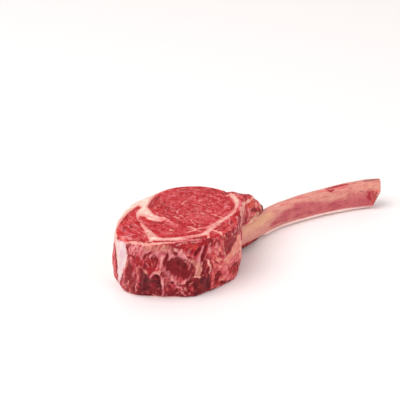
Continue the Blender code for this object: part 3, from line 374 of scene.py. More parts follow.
    ("dark", 0.6, ((1.3, -47.5, 44.3, 0.8), (3.9, -46.6, 38.6)), ((-1.9, -47, 42.7, 0.9),
     (0.3, -47, 40.9))),
    ("dark", 0.5, ((-2.9, -46.4, 34.6, 0.9), (0.9, -45.6, 31.2))),
    ("film", 0.6, ((-7.1, -47.1, 47.3, 0.9), (-2.6, -47.4, 51.8), (1.7, -48.3, 56.2))),
    ("dark", 0.8, ((-6.5, -46.7, 59, 1.2), (-7.2, -46.9, 53, 1.1))),
    ("dark", 0.7, ((-2.2, -47.6, 58.8, 0.9), (-4.2, -47.2, 53.9))),
    ("dark", 0.6, ((0.6, -48.1, 56, 1.2), (0.8, -48.1, 53.2))),
    ("film", 0.7, ((4, -48.1, 58.6, 1.2), (4.6, -47.7, 50.3, 1.4), (6.1, -46.8, 40.6, 1.6))),
    ("lean", 1, ((9.2, -41.5, 62.1, 2.6), (14.5, -42.3, 61.8, 3), (23.7, -39.3, 59.8, 2.6))),
    ("lean", 0.8, ((7.1, -45.4, 61.6, 2), (15.5, -44.2, 59, 2.4), (26.9, -37, 54, 2.2))),
    ("bright", 0.7, ((9.6, -43.2, 62, 1.6), (14.3, -43.7, 61.2), (19.2, -41.9, 60.3))),
    ("pink", 0.4, ((8.8, -46.3, 60.6, 1.4), (23.3, -39.1, 54))),
    ("bright", 1, ((6.1, -47.5, 59.6, 2.6), (24.9, -37.6, 49.2)), ((5.9, -47.8, 56.8, 2.6),
     (23.1, -38.6, 47.2)), ((6.1, -47.7, 52.6, 2.6), (19.8, -40.8, 45)), ((6.4, -47.5, 48.3, 2.6),
     (17.1, -41.9, 42.5)), ((7.5, -47, 43.8, 2.4), (13.9, -43.6, 40.3))),
    ("bright", 0.9, ((7.6, -46.6, 40.1, 1.6), (10.5, -45.2, 38.6))),
    ("maroon", 0.25, ((6.9, -47.6, 57.7, 1.4), (16.2, -43.3, 53.1))),
    ("maroon", 0.2, ((8.5, -46.9, 52.9, 1.6), (17.8, -42, 48.1))),
    ("maroon", 0.25, ((14.5, -43.5, 44.9, 1.8), (17.7, -41.9, 46.3))),
    ("maroon", 0.3, ((7.3, -47.3, 46, 1.4), (13.4, -44, 42.7))),
    ("dark", 0.6, ((6.8, -47.5, 49.9, 1.2), (10.4, -45.7, 48))),
    ("coral", 0.8, ((28.7, -34.8, 46.1, 1.8), (36.2, -27.7, 40.8))),
    ("coral", 0.9, ((27.8, -35, 42.1, 2.2), (37.7, -26, 34.9)), ((25.1, -36.6, 39.4, 2.4),
     (38.2, -25.4, 29.9)), ((20.8, -39.7, 38, 2.6), (38.4, -25, 25.2)), ((17.3, -41.2, 35.5, 2.6),
     (31.1, -30.5, 25.5))),
    ("coral", 0.8, ((13.1, -43.6, 33.7, 2.6), (23.7, -36.9, 26.9))),
    ("coral", 0.6, ((8.4, -45.2, 32.2, 2.2), (16.8, -40.8, 27.3))),
    ("tan", 0.4, ((29.8, -33.6, 43, 2), (36.3, -27.7, 37.8))),
    ("pink", 0.8, ((33.6, -28.5, 23.4, 2.4), (42.7, -19.3, 15.7)), ((26.5, -34.8, 24.4, 2.6),
     (40.5, -21.8, 13.2))),
    ("pink", 0.9, ((19, -39.4, 25.1, 2.6), (34.1, -27.3, 13.9)), ((6.5, -44.8, 27.8, 2.8),
     (20.6, -38.2, 19.6)), ((4.8, -44.1, 23.5, 2.8), (14.2, -41.6, 19.2)), ((8.8, -42.1, 16.5, 2.6),
     (17.3, -39.3, 12.3))),
    ("pink", 0.8, ((10.5, -40.5, 10.6, 2.4), (25.6, -33.7, 2.7))),
    ("dark", 0.9, ((2.2, -43.7, 21, 1.4), (4.2, -43.4, 20.2)), ((0.6, -43.4, 17.6, 1.6),
     (7.2, -41.8, 14.5)), ((-0.2, -43, 13.6, 1.6), (3.9, -41.8, 11.5))),
    ("dark", 0.6, ((-0.4, -42.3, 9.5, 1.4), (2.2, -41.4, 8.1))),
    ("coral", 0.6, ((5.5, -41.1, 9.9, 1.8), (10.7, -39.9, 7.9))),
    ("pink", 0.8, ((-0.3, -40.9, 2.7, 1.4), (10.6, -37.8, 1.3), (20, -35.5, 1))),
    # Painted shade: a dark line along the bottom edge of the wall.
    ("dark", 0.7, ((5.5, -38.8, 1.3, 0.7), (12.4, -37.6, 1.5), (19.3, -36.4, 2))),
    ("rise", 0.5, ((-0.3, -40.9, 2.7, 5), (13.2, -37.2, 1, 6), (26.6, -32.2, 1))),
    ("pale", 0.9, ((46.7, -13.2, 61.3, 0.9), (40.6, -21.7, 59.6, 1.3), (41, -21, 50.3, 1.7),
     (36.8, -27, 44.6, 2.3), (37.3, -26.3, 34.1, 2.6), (38.2, -24.9, 22.9, 2.4), (37.7, -24.7, 15, 1.6))),
    ("film", 0.2, ((42, -19.6, 46, 3), (45.7, -14.7, 31, 3.6), (47.7, -12.1, 17.6))),
    ("bright", 1, ((23.9, -36.2, 18.5, 1.8), (33.2, -28.1, 11.4)), ((21.7, -37.3, 16.3, 2),
     (31.2, -30.1, 9.6)), ((16.9, -39.9, 16, 2), (29.9, -31.1, 7.3))),
    ("bright", 0.8, ((18, -39, 12.1, 1.4), (25.6, -34.3, 7.1))),
    ("dark", 0.6, ((26.1, -34.7, 15.9, 1), (31.2, -30.1, 9.8), (29.4, -31.6, 7.3, 1.2))),
    ("dark", 0.5, ((15.9, -40.7, 19, 0.9), (19.6, -38.2, 13.2, 1.1))),
    ("pink", 0.4, ((21.1, -37.6, 15.8, 0.7), (24.1, -35.4, 11))),
    ("maroon", 0.5, ((21, -37.1, 10.3, 0.9), (26.6, -33.8, 7.6))),
    ("lean", 1, ((59.5, -0.2, 50.2, 3.8), (58.3, -2.2, 44.7, 4.5), (58.3, -2.8, 40.5, 3.4))),
    ("dark", 0.5, ((56, -4, 54.2, 1.3), (52.7, -7.3, 50), (53.3, -5.7, 43.4, 1.2))),
    ("bright", 0.6, ((62.9, 1.3, 50, 1.3), (60.3, -1.3, 44.8), (58.9, -2.6, 40.2))),
    ("film", 0.6, ((60.4, 0.4, 50.8, 1.3), (57.5, -2.5, 45.1), (56.1, -4.1, 38.4))),
    ("dark", 0.7, ((59.6, -2.6, 38.4, 1.1), (61, -2.4, 36.7))),
    ("rise", 0.7, ((57.5, 17.6, 59.2, 3), (59, 7.3, 61.3, 3.4), (64.4, 4.7, 58.1, 4.2),
     (72.1, 9, 53.4, 4))),
    ("rise", 0.4, ((78.4, 12.7, 48.7, 4), (87.4, 16.8, 39.6))),
    ("sink", 1, ((49.4, 18.6, 62.1, 2.6), (48.8, 15, 62.1))),
    ("film", 0.6, ((62.3, 9.5, 59.8, 1.4), (65.3, 7.9, 59.3))),
    ("dark", 0.6, ((61.1, 4, 59.6, 1.6), (61.5, 2.7, 57.2))),
    ("maroon", 0.9, ((59.3, 22.2, 58.1, 1.6), (61.8, 18.7, 58.1, 1.8), (60.8, 9.4, 60.1, 1.6))),
    ("glow", 1, ((66.8, 5.3, 54.4, 2.2), (71.3, 8.5, 54.1, 3), (71.5, 7.3, 49.9, 3.8),
     (67.3, 3.7, 49.1, 2.4))),
    ("coral", 0.9, ((82.1, 16.1, 46.8, 2), (81.2, 12.7, 42.2, 2.6))),
    ("dark", 0.5, ((87.8, 21.4, 41.9, 0.9), (83.2, 13.5, 40.1))),
    ("pink", 0.6, ((87.8, 18.5, 41.4, 1.8), (88.1, 16.5, 37.7, 1.6))),
    ("tan", 0.4, ((91, 19, 37.5, 1.4), (92, 18.5, 34.6))),
    ("pale", 0.9, ((46.7, -14.7, 59.2, 1.1), (52.6, -8.6, 59.2, 1.5), (62.5, 2.7, 55.1, 1.7),
     (68.8, 6.9, 55.1, 1.4), (78.2, 14.4, 50.5, 1.1))),
    ("maroon", 0.6, ((69.1, 3, 43.8, 1.6), (77.4, 8, 40.1, 2.2), (80.9, 9.4, 36.3, 1.5))),
    ("bright", 0.5, ((69.1, 3, 43.8, 1.6), (77.4, 8, 40.1, 2.2))),
    ("pink", 0.6, ((70.9, 2.9, 38.9, 1.4), (81.1, 8.8, 33.7, 1.6))),
    ("dark", 1, ((95.3, 20.8, 33.1, 1.9), (98, 21.6, 29.5, 1.8))),
    ("maroon", 0.6, ((66, 7.1, 58.8, 0.8), (75.2, 12.9, 53.2), (83.5, 17, 45.8, 0.9), (92.7, 23.7, 37.7, 1),
     (95.1, 21.6, 34.4, 1.1))),
    ("film", 0.7, ((65.9, 1.9, 46.6, 1.6), (66.5, 1.2, 42.2, 2.1), (61.8, -1.8, 38.3, 1.6))),
    ("dark", 0.6, ((63.5, -0.2, 43.3, 1.3), (60.9, -2.2, 38.3))),
    ("dark", 0.5, ((69, 1.4, 37, 0.9), (73.2, 3.6, 35.8))),
    ("pale", 0.8, ((53.8, -6.4, 33.9, 1.3), (61.6, -2.4, 33.3), (69.8, 1, 33.1), (80, 7, 30.3, 1.1))),
    ("dark", 0.6, ((54, -4, 9, 4), (61, -2, 9, 5), (66, 0, 9), (76, 4, 7), (85, 8, 5, 4))),
    ("black", 0.6, ((54, -4.4, 8.4, 2.2), (58, -3, 7.6, 1.8))),
    ("black", 0.4, ((62, -1.4, 6.8, 1.4), (72, 2.4, 6), (80, 6.6, 4.6))),
    ("dark", 0.7, ((80, 6.4, 6.4, 2), (85, 9.4, 5.4))),
    ("dark", 0.8, ((60, 3, 1, 4), (72, 9, 1), (84, 15, 2))),
    ("bright", 0.7, ((60, -3, 10.6, 1.2), (68, 0.6, 9.6, 1.3), (76, 4.4, 7.4, 1.1))),
    ("pink", 0.5, ((57, -4, 11.8, 0.8), (60, -3, 11.4, 0.5))),
    ("pink", 0.4, ((64, -1.8, 10.6, 0.6), (66, -0.6, 9.4, 0.5)), ((70, 1, 9.6, 0.6), (73, 2.6, 8, 0.5))),
    ("rise", 0.35, ((38, -27, 22, 9), (43, -19, 14, 7)), ((18, -38, 3, 8), (30, -31, 3))),
    ("coral", 0.9, ((52.5, -8.3, 32.5, 2.4), (52.2, -9.8, 26.5, 2.6), (53.7, -8.6, 18.5, 2.2))),
    ("pale", 0.6, ((5.9, -41.2, 62.2, 0.7), (4.3, -47.2, 60.8, 0.8), (4.1, -48, 52.7), (5.6, -47.2, 44.3),
     (9.1, -45.7, 36.9))),
    ("pale", 0.7, ((6.5, -47.1, 60.3, 0.7), (7.2, -47.3, 59.3)), ((9.5, -46.6, 57.2, 0.6),
     (11.4, -45.6, 55.6))),
    ("pale", 0.6, ((15.4, -44.2, 57.8, 0.8), (17.6, -42.8, 55.7)), ((19.7, -41.4, 52.4, 0.7),
     (22.9, -39.2, 50.9)), ((13.7, -42.9, 61.7, 0.6), (17.7, -41.8, 61.3))),
    ("pale", 0.5, ((22, -40.4, 56.5, 0.7), (26.5, -37.3, 54.5)), ((26.4, -37.7, 59.9, 0.6),
     (29.9, -35.1, 54.7)), ((13.5, -38.7, 62.1, 0.5), (18.1, -38.3, 62.1), (23.6, -36, 62))),
    ("dark", 0.5, ((10.8, -44.7, 61.4, 0.7), (13.7, -44.4, 60.7)), ((19.3, -41.8, 60.5, 0.7),
     (22.5, -40.2, 59.5))),
    ("pale", 0.8, ((-75.6, -13.9, 60.9, 0.8), (-72.5, -16.7, 61.6, 0.9), (-69.3, -19.2, 61.9),
     (-67.1, -21.8, 61.7, 0.8), (-64.8, -25.1, 61.3, 0.9))),
    ("pale", 0.4, ((-40.7, -35.3, 61.8, 0.7), (-34.6, -37.3, 61.7), (-25.8, -40.2, 61.5),
     (-17, -42.9, 61.2), (-10.7, -44.8, 61.1, 0.6))),
    ("dark", 0.5, ((-38.7, -37.2, 61.3, 0.5), (-26.5, -41.3, 60.8), (-13.8, -44.6, 60))),
    ("pale", 0.5, ((-39.1, -38, 60.1, 0.6), (-32.1, -40.2, 60.1, 0.7), (-21.3, -43.2, 59.5, 0.6),
     (-12.2, -45.5, 59.1, 0.5))),
    ("glow", 0.5, ((-28.2, -42.3, 57.9, 2.2), (-22.5, -44, 55.2, 2.6))),
    ("bright", 0.8, ((-35.1, -40, 57.8, 1.6), (-31.1, -41.9, 54.8, 1.8)), ((-17.9, -44.5, 56.8, 1.8),
     (-14.1, -45.2, 58.1, 1.4))),
    ("dark", 0.5, ((-19, -44.5, 55, 0.9), (-21.5, -44.9, 50.3, 1))),
    ("dark", 0.4, ((-29.4, -42.6, 54.8, 0.6), (-27.7, -43.2, 53.5))),
    ("fat", 1, ((51.8, 15.4, 1.3), (53.1, 10.2, 1.7), (51.9, 2.6, 1.5))),
    ("film", 0.8, ((59.7, 19.1, 1.4), (56.2, 6, 1.6))),
    ("maroon", 0.3, ((-14.7, 32, 7), (-18.5, 15.4), (-18.3, -1.6, 5))),
    ("maroon", 0.2, ((7.8, -47.2, 54.4, 2.2), (19.4, -41.2, 48.2, 2.4)), ((8.4, -46.9, 49.3, 2.2),
     (16.5, -42.4, 45))),
    ("maroon", 0.3, ((9.1, -46.1, 43.9, 1.8), (12.4, -44.4, 41.9))),
    ("dark", 0.4, ((14.6, -44.1, 53.4, 0.8), (21.1, -40.3, 48.9))),
    ("film", 0.6, ((-1.7, -47.6, 55.5, 1.4), (-0.6, -47.7, 49.8), (-1.3, -47.1, 43.2))),
    ("coral", 0.6, ((0.4, -47.8, 50, 1.4), (1.6, -47.6, 45.8)), ((-1.5, -46.8, 39.2, 1.6),
     (2.4, -45.6, 32.5))),
    ("coral", 0.7, ((9.6, -44.9, 33.6, 1.8), (18.9, -39.9, 29.2))),
    ("coral", 0.6, ((10.8, -43.9, 27.6, 1.8), (16.1, -41, 24.2))),
    ("pale", 0.4, ((0.1, -45.1, 27.4, 1), (6.1, -44.4, 25.5))),
    ("pink", 0.6, ((77.2, 12.2, 50, 1.4), (84.7, 15.8, 42.7, 1.8), (86.7, 15.6, 38.1, 1.6))),
    ("coral", 0.5, ((80.6, 12.9, 43.9, 1.4), (82.1, 12.5, 40.2))),
    ("pale", 0.5, ((62.6, -0.3, 44.8, 0.7), (63.8, -0.6, 40.5)), ((67, 0.6, 38.5, 0.6), (72, 3.4, 37.9))),
    ("pale", 0.4, ((59.1, -1.2, 47.4, 0.6), (59.6, -2.3, 41))),
    ("dark", 0.8, ((71.1, 4.1, 43.3, 1.5), (78.4, 8.8, 39.8, 1.8), (80.6, 9.3, 36.8, 1.2))),
    ("coral", 0.9, ((87.3, 17.3, 41, 1.6), (89.6, 17.2, 36.4, 1.9), (91.9, 17.2, 31.8, 1.5))),
    ("tan", 0.5, ((88, 15.6, 35.8, 1.2), (91, 16.1, 31.4, 1.1))),
    ("olive", 0.9, ((83.4, 10.4, 33.2, 1.7), (75.4, 4.7, 34), (67.4, -0.1, 34.1, 1.4),
     (61.4, -2.4, 32.7, 1))),
    ("dark", 0.9, ((59.5, 21.1, 58.2, 1.3), (60.7, 16, 59, 1.5), (59.2, 6.5, 61.4, 1.3))),
    ("sink", 0.9, ((50.6, 20.4, 61.6, 2.2), (48.8, 18, 62, 1.8), (47.4, 16.4, 62, 1.2))),
    ("rise", 0.4, ((41.1, -21.1, 15.3, 4), (39.2, -22.8, 7.7, 4.5), (33, -28.5, 3.7, 4))),
    ("dark", 0.5, ((22.9, -36.7, 17.8, 1), (29.4, -31.7, 14.3, 1.2))),
    ("maroon", 0.4, ((17.4, -39.7, 17, 1), (21.3, -37.6, 16.8))),
    ("pink", 0.9, ((37.5, -24.4, 10.3, 1), (34, -27.4, 6.2), (28.8, -32, 3.6), (24, -34.2, 1.9, 1.2))),
    ("pink", 0.7, ((13.2, -42.6, 23.4, 1), (18.3, -39.6, 22.1), (24.1, -36.3, 20.6))),
    ("pink", 0.6, ((12.2, -41.9, 17.5, 0.9), (17, -39.1, 11))),
    ("film", 0.6, ((-62.2, -30, 51.2, 0.7), (-61.4, -30.5, 46.8))),
    ("film", 0.5, ((-58.3, -31.5, 51.8, 0.6), (-58.9, -31.6, 47.2))),
    ("pink", 0.5, ((-64.4, -28.3, 49.3, 0.6), (-63.2, -29.6, 45))),
    ("film", 0.4, ((-56.3, -32.6, 49, 0.6), (-57.1, -32.5, 42.8))),
    ("dark", 0.2, ((-68.8, 11.7, 3.2), (-63.9, 6.6, 3.4), (-69.2, -0.4, 3))),
    ("dark", 0.16, ((-11.2, 26.4, 3.4), (-6.9, 18.4, 4))),
    ("black", 0.25, ((-41.6, -38.1, 38.6, 6), (-32.2, -41.8, 32.1))),
    ("film", 0.5, ((-64.8, -28, 45, 0.7), (-63, -29.3, 40.2))),
    ("pale", 0.4, ((-61.4, -30.5, 45.3, 0.5), (-60, -31, 38.6))),
    ("film", 0.4, ((-54.7, -33.2, 44.5, 0.9), (-56.8, -32.6, 37.8))),
    ("pale", 0.6, ((-75.2, -14, 61.2, 1.2), (-70, -19.7, 61.6, 1.5), (-62.8, -25.2, 61.7, 1.6),
     (-55, -29.6, 61.8), (-49.9, -31.6, 61.9, 1.2))),
    ("white", 0.2, ((-72.8, -17.3, 61.4, 1), (-62.8, -25.2, 61.7, 1.3), (-53.3, -30.2, 61.8, 1))),
    ("pale", 0.4, ((-51.4, -34, 56.9, 2), (-44.8, -36.9, 55.5, 2.2), (-35.4, -40.3, 53.6, 1.8))),
    ("dark", 0.6, ((-57.9, -31.8, 51.2, 2.2), (-57.5, -32.3, 44.3))),
    ("film", 0.4, ((-37.6, -39.6, 48.8, 1.5), (-33.8, -41.1, 45.4, 1.3))),
    ("film", 0.5, ((-31.8, -42.2, 41.9, 1.2), (-28.8, -43.8, 37.5, 1.5), (-29.3, -43.3, 33, 1.1))),
    ("film", 0.4, ((-51.2, -34, 36.7, 1.6), (-49.1, -34.5, 31.5, 1.4))),
    ("dark", 0.7, ((-31.3, -41.9, 27.5, 1.6), (-27.9, -43.3, 23.1, 2.4), (-22.9, -45.7, 20.6, 2))),
    ("dark", 0.4, ((-8.4, -46.3, 25, 1.2), (-6.3, -46.3, 28.7))),
    ("coral", 0.3, ((-70.8, -21.3, 35.1, 1.6), (-69.2, -21.6, 28.9))),
    ("pink", 0.45, ((-29.2, -33.4, 1.7), (-21.5, -36.4, 1.8), (-13, -38.2, 1.4))),
    ("pink", 0.4, ((-4.8, -33.4, 1.4), (2.7, -31.7, 1.6), (12.1, -28.8))),
    ("dark", 0.5, ((-32.9, -40.9, 22.6, 1.4), (-29.3, -42, 18.4, 1.6))),
    ("film", 0.4, ((-32.3, -41, 20.2, 0.6), (-27.5, -43.7, 24.3))),
    # Painted shade: a dark line along the bottom edge of the wall.
    ("dark", 0.6, ((0.4, -39.7, 1.1, 1.6), (-11.6, -43.1, 2.8))),
    ("coral", 0.3, ((-70.9, -21.7, 39.2, 1.6), (-70, -21.7, 33.5))),
    ("film", 0.4, ((-50.3, -34.2, 35, 1.2), (-48.2, -34.7, 29.1))),
    ("pale", 0.35, ((-76, 16, 34, 0.6), (-75.6, 15, 24, 0.7), (-75, 17, 14, 0.5))),
    ("film", 0.45, ((-74.6, 21, 12, 1.6), (-74.4, 15, 6, 1.4))),
)
# Marks laid on the bone.
BONE_MARKS = (
    ("purple", 1, ((102.8, 12.4, 12.9, 1.4), (111.7, 14.4, 14, 3.6), (121.5, 15.7, 15.2, 5.8),
     (131.9, 16, 16.1, 7), (143.2, 15.5, 16.1, 7.6), (159.6, 14.5, 14.3, 6.6), (178.1, 12.5, 12.3, 5.6),
     (196.1, 9.5, 11.2, 6.2), (210.8, 5.6, 11.4, 7), (221.3, 1.7, 12.7, 6))),
    ("purple", 0.6, ((201.1, 8.2, 20, 2.2), (210, 5.8, 20.6, 2.4), (218.4, 2.7, 20.9))),
    ("purple", 0.5, ((135.9, 16.7, 23.3, 2.6), (148.2, 15.8, 22, 2.8), (163, 14.3, 18.5, 2.4))),
    ("crimson", 0.8, ((102.2, 12.2, 13.5, 1.2), (107, 13.6, 12, 1.8), (113.3, 14.8, 12.4, 1.6))),
    ("crimson", 0.5, ((144.4, 15.5, 17, 2.2), (150.8, 15.1, 14.3), (153.2, 15.2, 10.5, 1.4))),
    ("dark", 0.5, ((93.4, 9.5, 11.6, 0.9), (108.6, 14.9, 7), (121.6, 17, 6.4), (132, 17.1, 6.6),
     (145, 17.1, 5.6), (158.3, 17.1, 4.1), (170.6, 15.8, 4.2), (186.7, 13.8, 3.6), (204.3, 10.2, 3.3),
     (223.7, 3.4, 3.7))),
    ("dark", 0.6, ((105.7, 21.1, 29.4, 0.7), (114.9, 23.5, 29.4, 0.8), (120.6, 24.5, 29.4),
     (130.4, 23.9, 29.5, 0.6), (140.7, 23.9, 29.4, 0.7), (150.5, 23.7, 29.4, 0.9))),
    ("pink", 0.6, ((118.5, 19.6, 28.5, 1.6), (126.6, 19.2, 27.9))),
    # Painted highlight along the bone's upper side.
    ("pale", 0.5, ((112.5, 20.1, 29.1, 0.8), (117, 20.4, 29.1))),
    ("pink", 0.8, ((141.4, 22.3, 29.3, 0.9), (147.4, 19.5, 28.4))),
    ("dark", 0.5, ((161.7, 24.1, 29.3, 0.8), (168.2, 22.2, 29.7, 0.9))),
    ("pink", 0.8, ((167.2, 20.9, 29.7, 1.2), (172.7, 18.4, 29.5, 1.1), (177.3, 17.7, 29.8))),
    ("blood", 0.9, ((177.5, 20.5, 30.2, 0.9), (183.4, 19.5, 30.7, 1.3), (189.3, 18.6, 31.1, 1.6),
     (195.1, 17.4, 31.5, 1.5), (201.3, 15, 31.8, 1))),
    ("blood", 1, ((178.3, 17, 29.6, 1), (180.8, 16, 29.3, 1.3), (183.8, 15.9, 29.8, 0.9))),
    ("pink", 0.8, ((184.8, 16.1, 30.1, 0.9), (193, 14.6, 30.7, 1.1), (204.7, 11.3, 30.9))),
    ("dark", 0.5, ((193.6, 13.6, 30, 0.7), (200.2, 11.7, 30)), ((206.9, 13.5, 32, 0.6), (216.6, 8.6, 32))),
    ("dark", 1, ((219.5, 9.5, 32.4, 0.8), (224, 7.7, 32.5, 1), (227.9, 6.4, 32.6, 0.9),
     (231.9, 5.5, 32.8, 1), (236.1, 4.6, 32.7, 1.1))),
    ("yellow", 0.7, ((223.1, 3.6, 30.1, 1.5), (223.7, 1.6, 26.7, 1.6))),
    # Cream-yellow bone next to the meat, also lightened there against the steak's shadow: partly painted
    # light.
    ("yellow", 0.9, ((66.4, -0.6, 33.5, 4.4), (77.9, 5.9, 31.4, 5.4), (88.9, 9.1, 26.1, 5.2),
     (100.1, 12.8, 25, 4))),
    ("yellow", 0.7, ((56.1, -7.3, 28.6, 4.4), (68.8, -0.9, 26), (86.2, 6.8, 22.7, 3))),
    ("brown", 0.6, ((212.5, 5.4, 24.6, 0.5), (216.3, 3.9, 24))),
    ("brown", 0.4, ((194.6, 10.5, 7.5, 0.8), (196.3, 10.3, 7.1)), ((213.2, 4.9, 10, 0.7),
     (214.5, 4.8, 8.7))),
    ("crimson", 0.9, ((222, 1.8, 24.4, 1.2), (220.1, 2.1, 20.7, 1.9), (219.8, 2.1, 16.4, 1.8),
     (222.6, 1.1, 13.1, 1.3))),
    ("blood", 0.8, ((222, 1.4, 21.7, 1.2), (221.4, 1.5, 17.4, 1.5), (223.6, 0.6, 13.8, 1.3))),
    ("marrow", 0.9, ((225, 0.1, 22, 2.2), (226.9, -1, 16.6, 2.8), (227, -0.2, 8.7, 2))),
    ("blood", 0.8, ((229.2, -1.8, 21.7, 1.1), (227.4, -1.3, 17.3, 1.6), (226.7, -0.7, 12.8))),
    ("pink", 1, ((228, -1, 23.8, 1.2), (231.2, -2.6, 23, 1))),
    ("pink", 0.9, ((225.4, 0.3, 9.7, 1.5), (227.6, 0.6, 5.7, 1.1))),
    ("brown", 0.8, ((224.4, 0.2, 20.3, 0.7), (225.8, -0.5, 17.6, 0.8))),
    ("brown", 0.6, ((222.1, 1.3, 12.6, 0.5), (224.2, 2.5, 5))),
    ("blood", 0.8, ((226.6, 1.9, 4.1, 1), (228.7, 3.3, 2.1, 0.9))),
    ("dark", 1, ((232.1, -3.1, 21, 0.7), (230.4, -2.5, 15.8, 0.8), (228.5, -1.2, 10), (227.9, 0.8, 5.1))),
    ("pink", 0.25, ((190, 12.1, 26.9, 5), (201.3, 9.3, 26.7, 6), (213.3, 5.5, 26.4))),
    ("purple", 0.3, ((185.3, 13, 26.6, 5), (201.3, 9.3, 26.7, 6.5), (214.4, 5.4, 27.3), (227, 0.6, 28, 6))),
    ("rosy", 1, ((204.6, 10.5, 30.2, 4), (215.2, 6.7, 30.2, 5), (229.8, 1.1, 30.7))),
)

# What a mark of each kind leaves in the coats that it touches, at its full strength.
CLEAN = dict.fromkeys(
    ("film", "dark", "maroon", "bright", "tan", "coral", "pale", "white", "pink", "olive", "glow"), 0.0)
LEAVES = {
    "fat": {**CLEAN},
    "white": {**CLEAN, "white": 1.0},
    "lean": {**CLEAN},
    "film": {"film": 1.0, "dark": 0.0, "maroon": 0.0, "tan": 0.0},
    "pale": {"pale": 1.0, "dark": 0.0, "maroon": 0.0},
    "pink": {"pink": 1.0, "dark": 0.0, "maroon": 0.0, "tan": 0.0, "coral": 0.0},
    "coral": {"coral": 1.0, "dark": 0.0, "film": 0.0, "pink": 0.0},
    "tan": {"tan": 1.0, "dark": 0.0, "bright": 0.0},
    "olive": {"olive": 1.0},
    "dark": {**CLEAN, "dark": 1.0},
    # black: painted shade in crevices, over the darkest red of the tissue.
    "black": {**CLEAN, "dark": 1.8},
    "maroon": {**CLEAN, "maroon": 1.0, "dark": 0.3},
    "bright": {**CLEAN, "bright": 1.0},
    "glow": {**CLEAN, "glow": 1.0},
    "calm": {"calm": 1.0},
    "rise": {"rise": 3.0},
    "sink": {"rise": -3.0},
}
BONE_COATS = ("purple", "blood", "dark", "pink", "pale", "yellow", "marrow")
BONE_LEAVES = {
    "purple": {"purple": 1.0},
    "crimson": {"purple": 1.0, "blood": 0.45},
    "blood": {"blood": 1.0, "pale": 0.0},
    "dark": {"dark": 0.8},
    "brown": {"dark": 1.0},
    "pink": {"pink": 1.0},
    "rosy": {"pink": 0.22},
    # pale: painted highlights, and painted light reflected from the floor on the underside and lip.
    "pale": {"pale": 0.7},
    "yellow": {"yellow": 1.0, "purple": 0.0},
    "marrow": {"marrow": 1.0},
}
# How softly some kinds fade at their edge. The others fade with their width.
SOFTNESS = {"purple": 5.0, "yellow": 5.0, "crimson": 2.4, "calm": 2.5, "rise": 5.0, "sink": 1.5}
ADDS_FAT = ("fat", "white")
TAKES_FAT = ("lean", "dark", "black", "bright", "glow")


# ---------------------------------------------------------------- helpers

def smoothstep(low, high, value):
    """From 0 at low to 1 at high, with soft ends. low may be the larger one."""
    t = np.clip((value - low) / (high - low), 0.0, 1.0)
    return t * t * (3.0 - 2.0 * t)


def lattice(ix, iy, iz, seed):
    """A fixed pseudo-random number from -1 to 1 for each whole-number point."""
    h = (ix * 73856093) ^ (iy * 19349663) ^ (iz * 83492791) ^ (seed * 40503)
    h = ((h ^ (h >> 13)) * 1274126177) & 0xFFFFFFFF
    h = ((h ^ (h >> 15)) * 668265263) & 0xFFFFFFFF
    return ((h >> 8) & 0xFFFF) / 32767.5 - 1.0


def noise(points, size, seed):
    """Smooth noise from -1 to 1. size is the length of one bump, or one length for each axis."""
    q = points / np.asarray(size, float)
    cell = np.floor(q).astype(np.int64)
    f = q - cell
    f = f * f * (3.0 - 2.0 * f)
    total = np.zeros(len(points))
    for corner in np.ndindex(2, 2, 2):
        weight = np.prod(np.where(corner, f, 1.0 - f), axis=1)
        total += weight * lattice(*(cell + corner).T, seed)
    return total


def rough_noise(points, size, seed):
    """Three layers of noise, each half as large as the one before."""
    size = np.asarray(size, float)
    layers = [(0.55 ** i, noise(points + 31.7 * i, size / 2.0 ** i, seed + i)) for i in range(3)]
    return sum(weight * layer for weight, layer in layers) / sum(weight for weight, _ in layers)


def warped(points, amount, size, seed):
    """The points pushed about by noise, so that a mark read at them has an uneven edge."""
    shift = np.stack([rough_noise(points, size, seed + 10 * k) for k in range(3)], -1)
    return points + np.asarray(amount) * shift


def strokes(marks):
    """The kind, the strength and the path of each stroke, with a half width at every point."""
    for kind, strength, *paths in marks:
        for path in paths:
            full = []
            for point in path:
                full.append(point if len(point) == len(path[0]) else (*point, full[-1][-1]))
            yield kind, strength, np.array(full * 2 if len(full) == 1 else full, float)


def inside_stroke(places, path):
    """How far inside a stroke each place is."""
    best = np.full(len(places), -50.0)
    for a, b in zip(path[:-1], path[1:]):
        step = (b - a)[:-1]
        t = np.clip((places - a[:-1]) @ step / max(step @ step, 1e-9), 0.0, 1.0)
        gap = np.linalg.norm(places - a[:-1] - t[:, None] * step, axis=1)
        best = np.maximum(best, a[-1] + (b[-1] - a[-1]) * t - gap)
    return best


def paint(marks, leaves, points, coats, cut=None, fat=None):
    """Lays the marks over the coats, which hold an amount for each vertex, and over the depth of fat."""
    for kind, strength, path in strokes(marks):
        axes = path.shape[1] - 1
        flat = axes == 2
        places = points[:, :axes]
        width = path[:, -1].max()
        reach = width + 5.0
        low = path[:, :axes].min(0) - reach
        high = path[:, :axes].max(0) + reach
        near = np.all((places > low) & (places < high), axis=1)
        if flat:
            near &= cut > 0.05
        if not near.any():
            continue
        depth = inside_stroke(places[near], path)
        soft = SOFTNESS.get(kind, min(2.4, max(0.5, 0.62 * width)))
        over = smoothstep(-soft, soft * 0.6, depth) * strength
        if flat:
            over *= cut[near]
        for coat, target in leaves[kind].items():
            coats[coat][near] += (target - coats[coat][near]) * over
        if fat is not None and kind in ADDS_FAT:
            fat[near] = np.maximum(fat[near], depth * strength)
        elif fat is not None and kind in TAKES_FAT:
            fat[near] += (np.minimum(fat[near], -depth) - fat[near]) * strength


def select(objects):
    """Selects these objects alone and makes the first one active."""
    bpy.ops.object.select_all(action="DESELECT")
    for obj in objects:
        obj.select_set(True)
    bpy.context.view_layer.objects.active = objects[0]


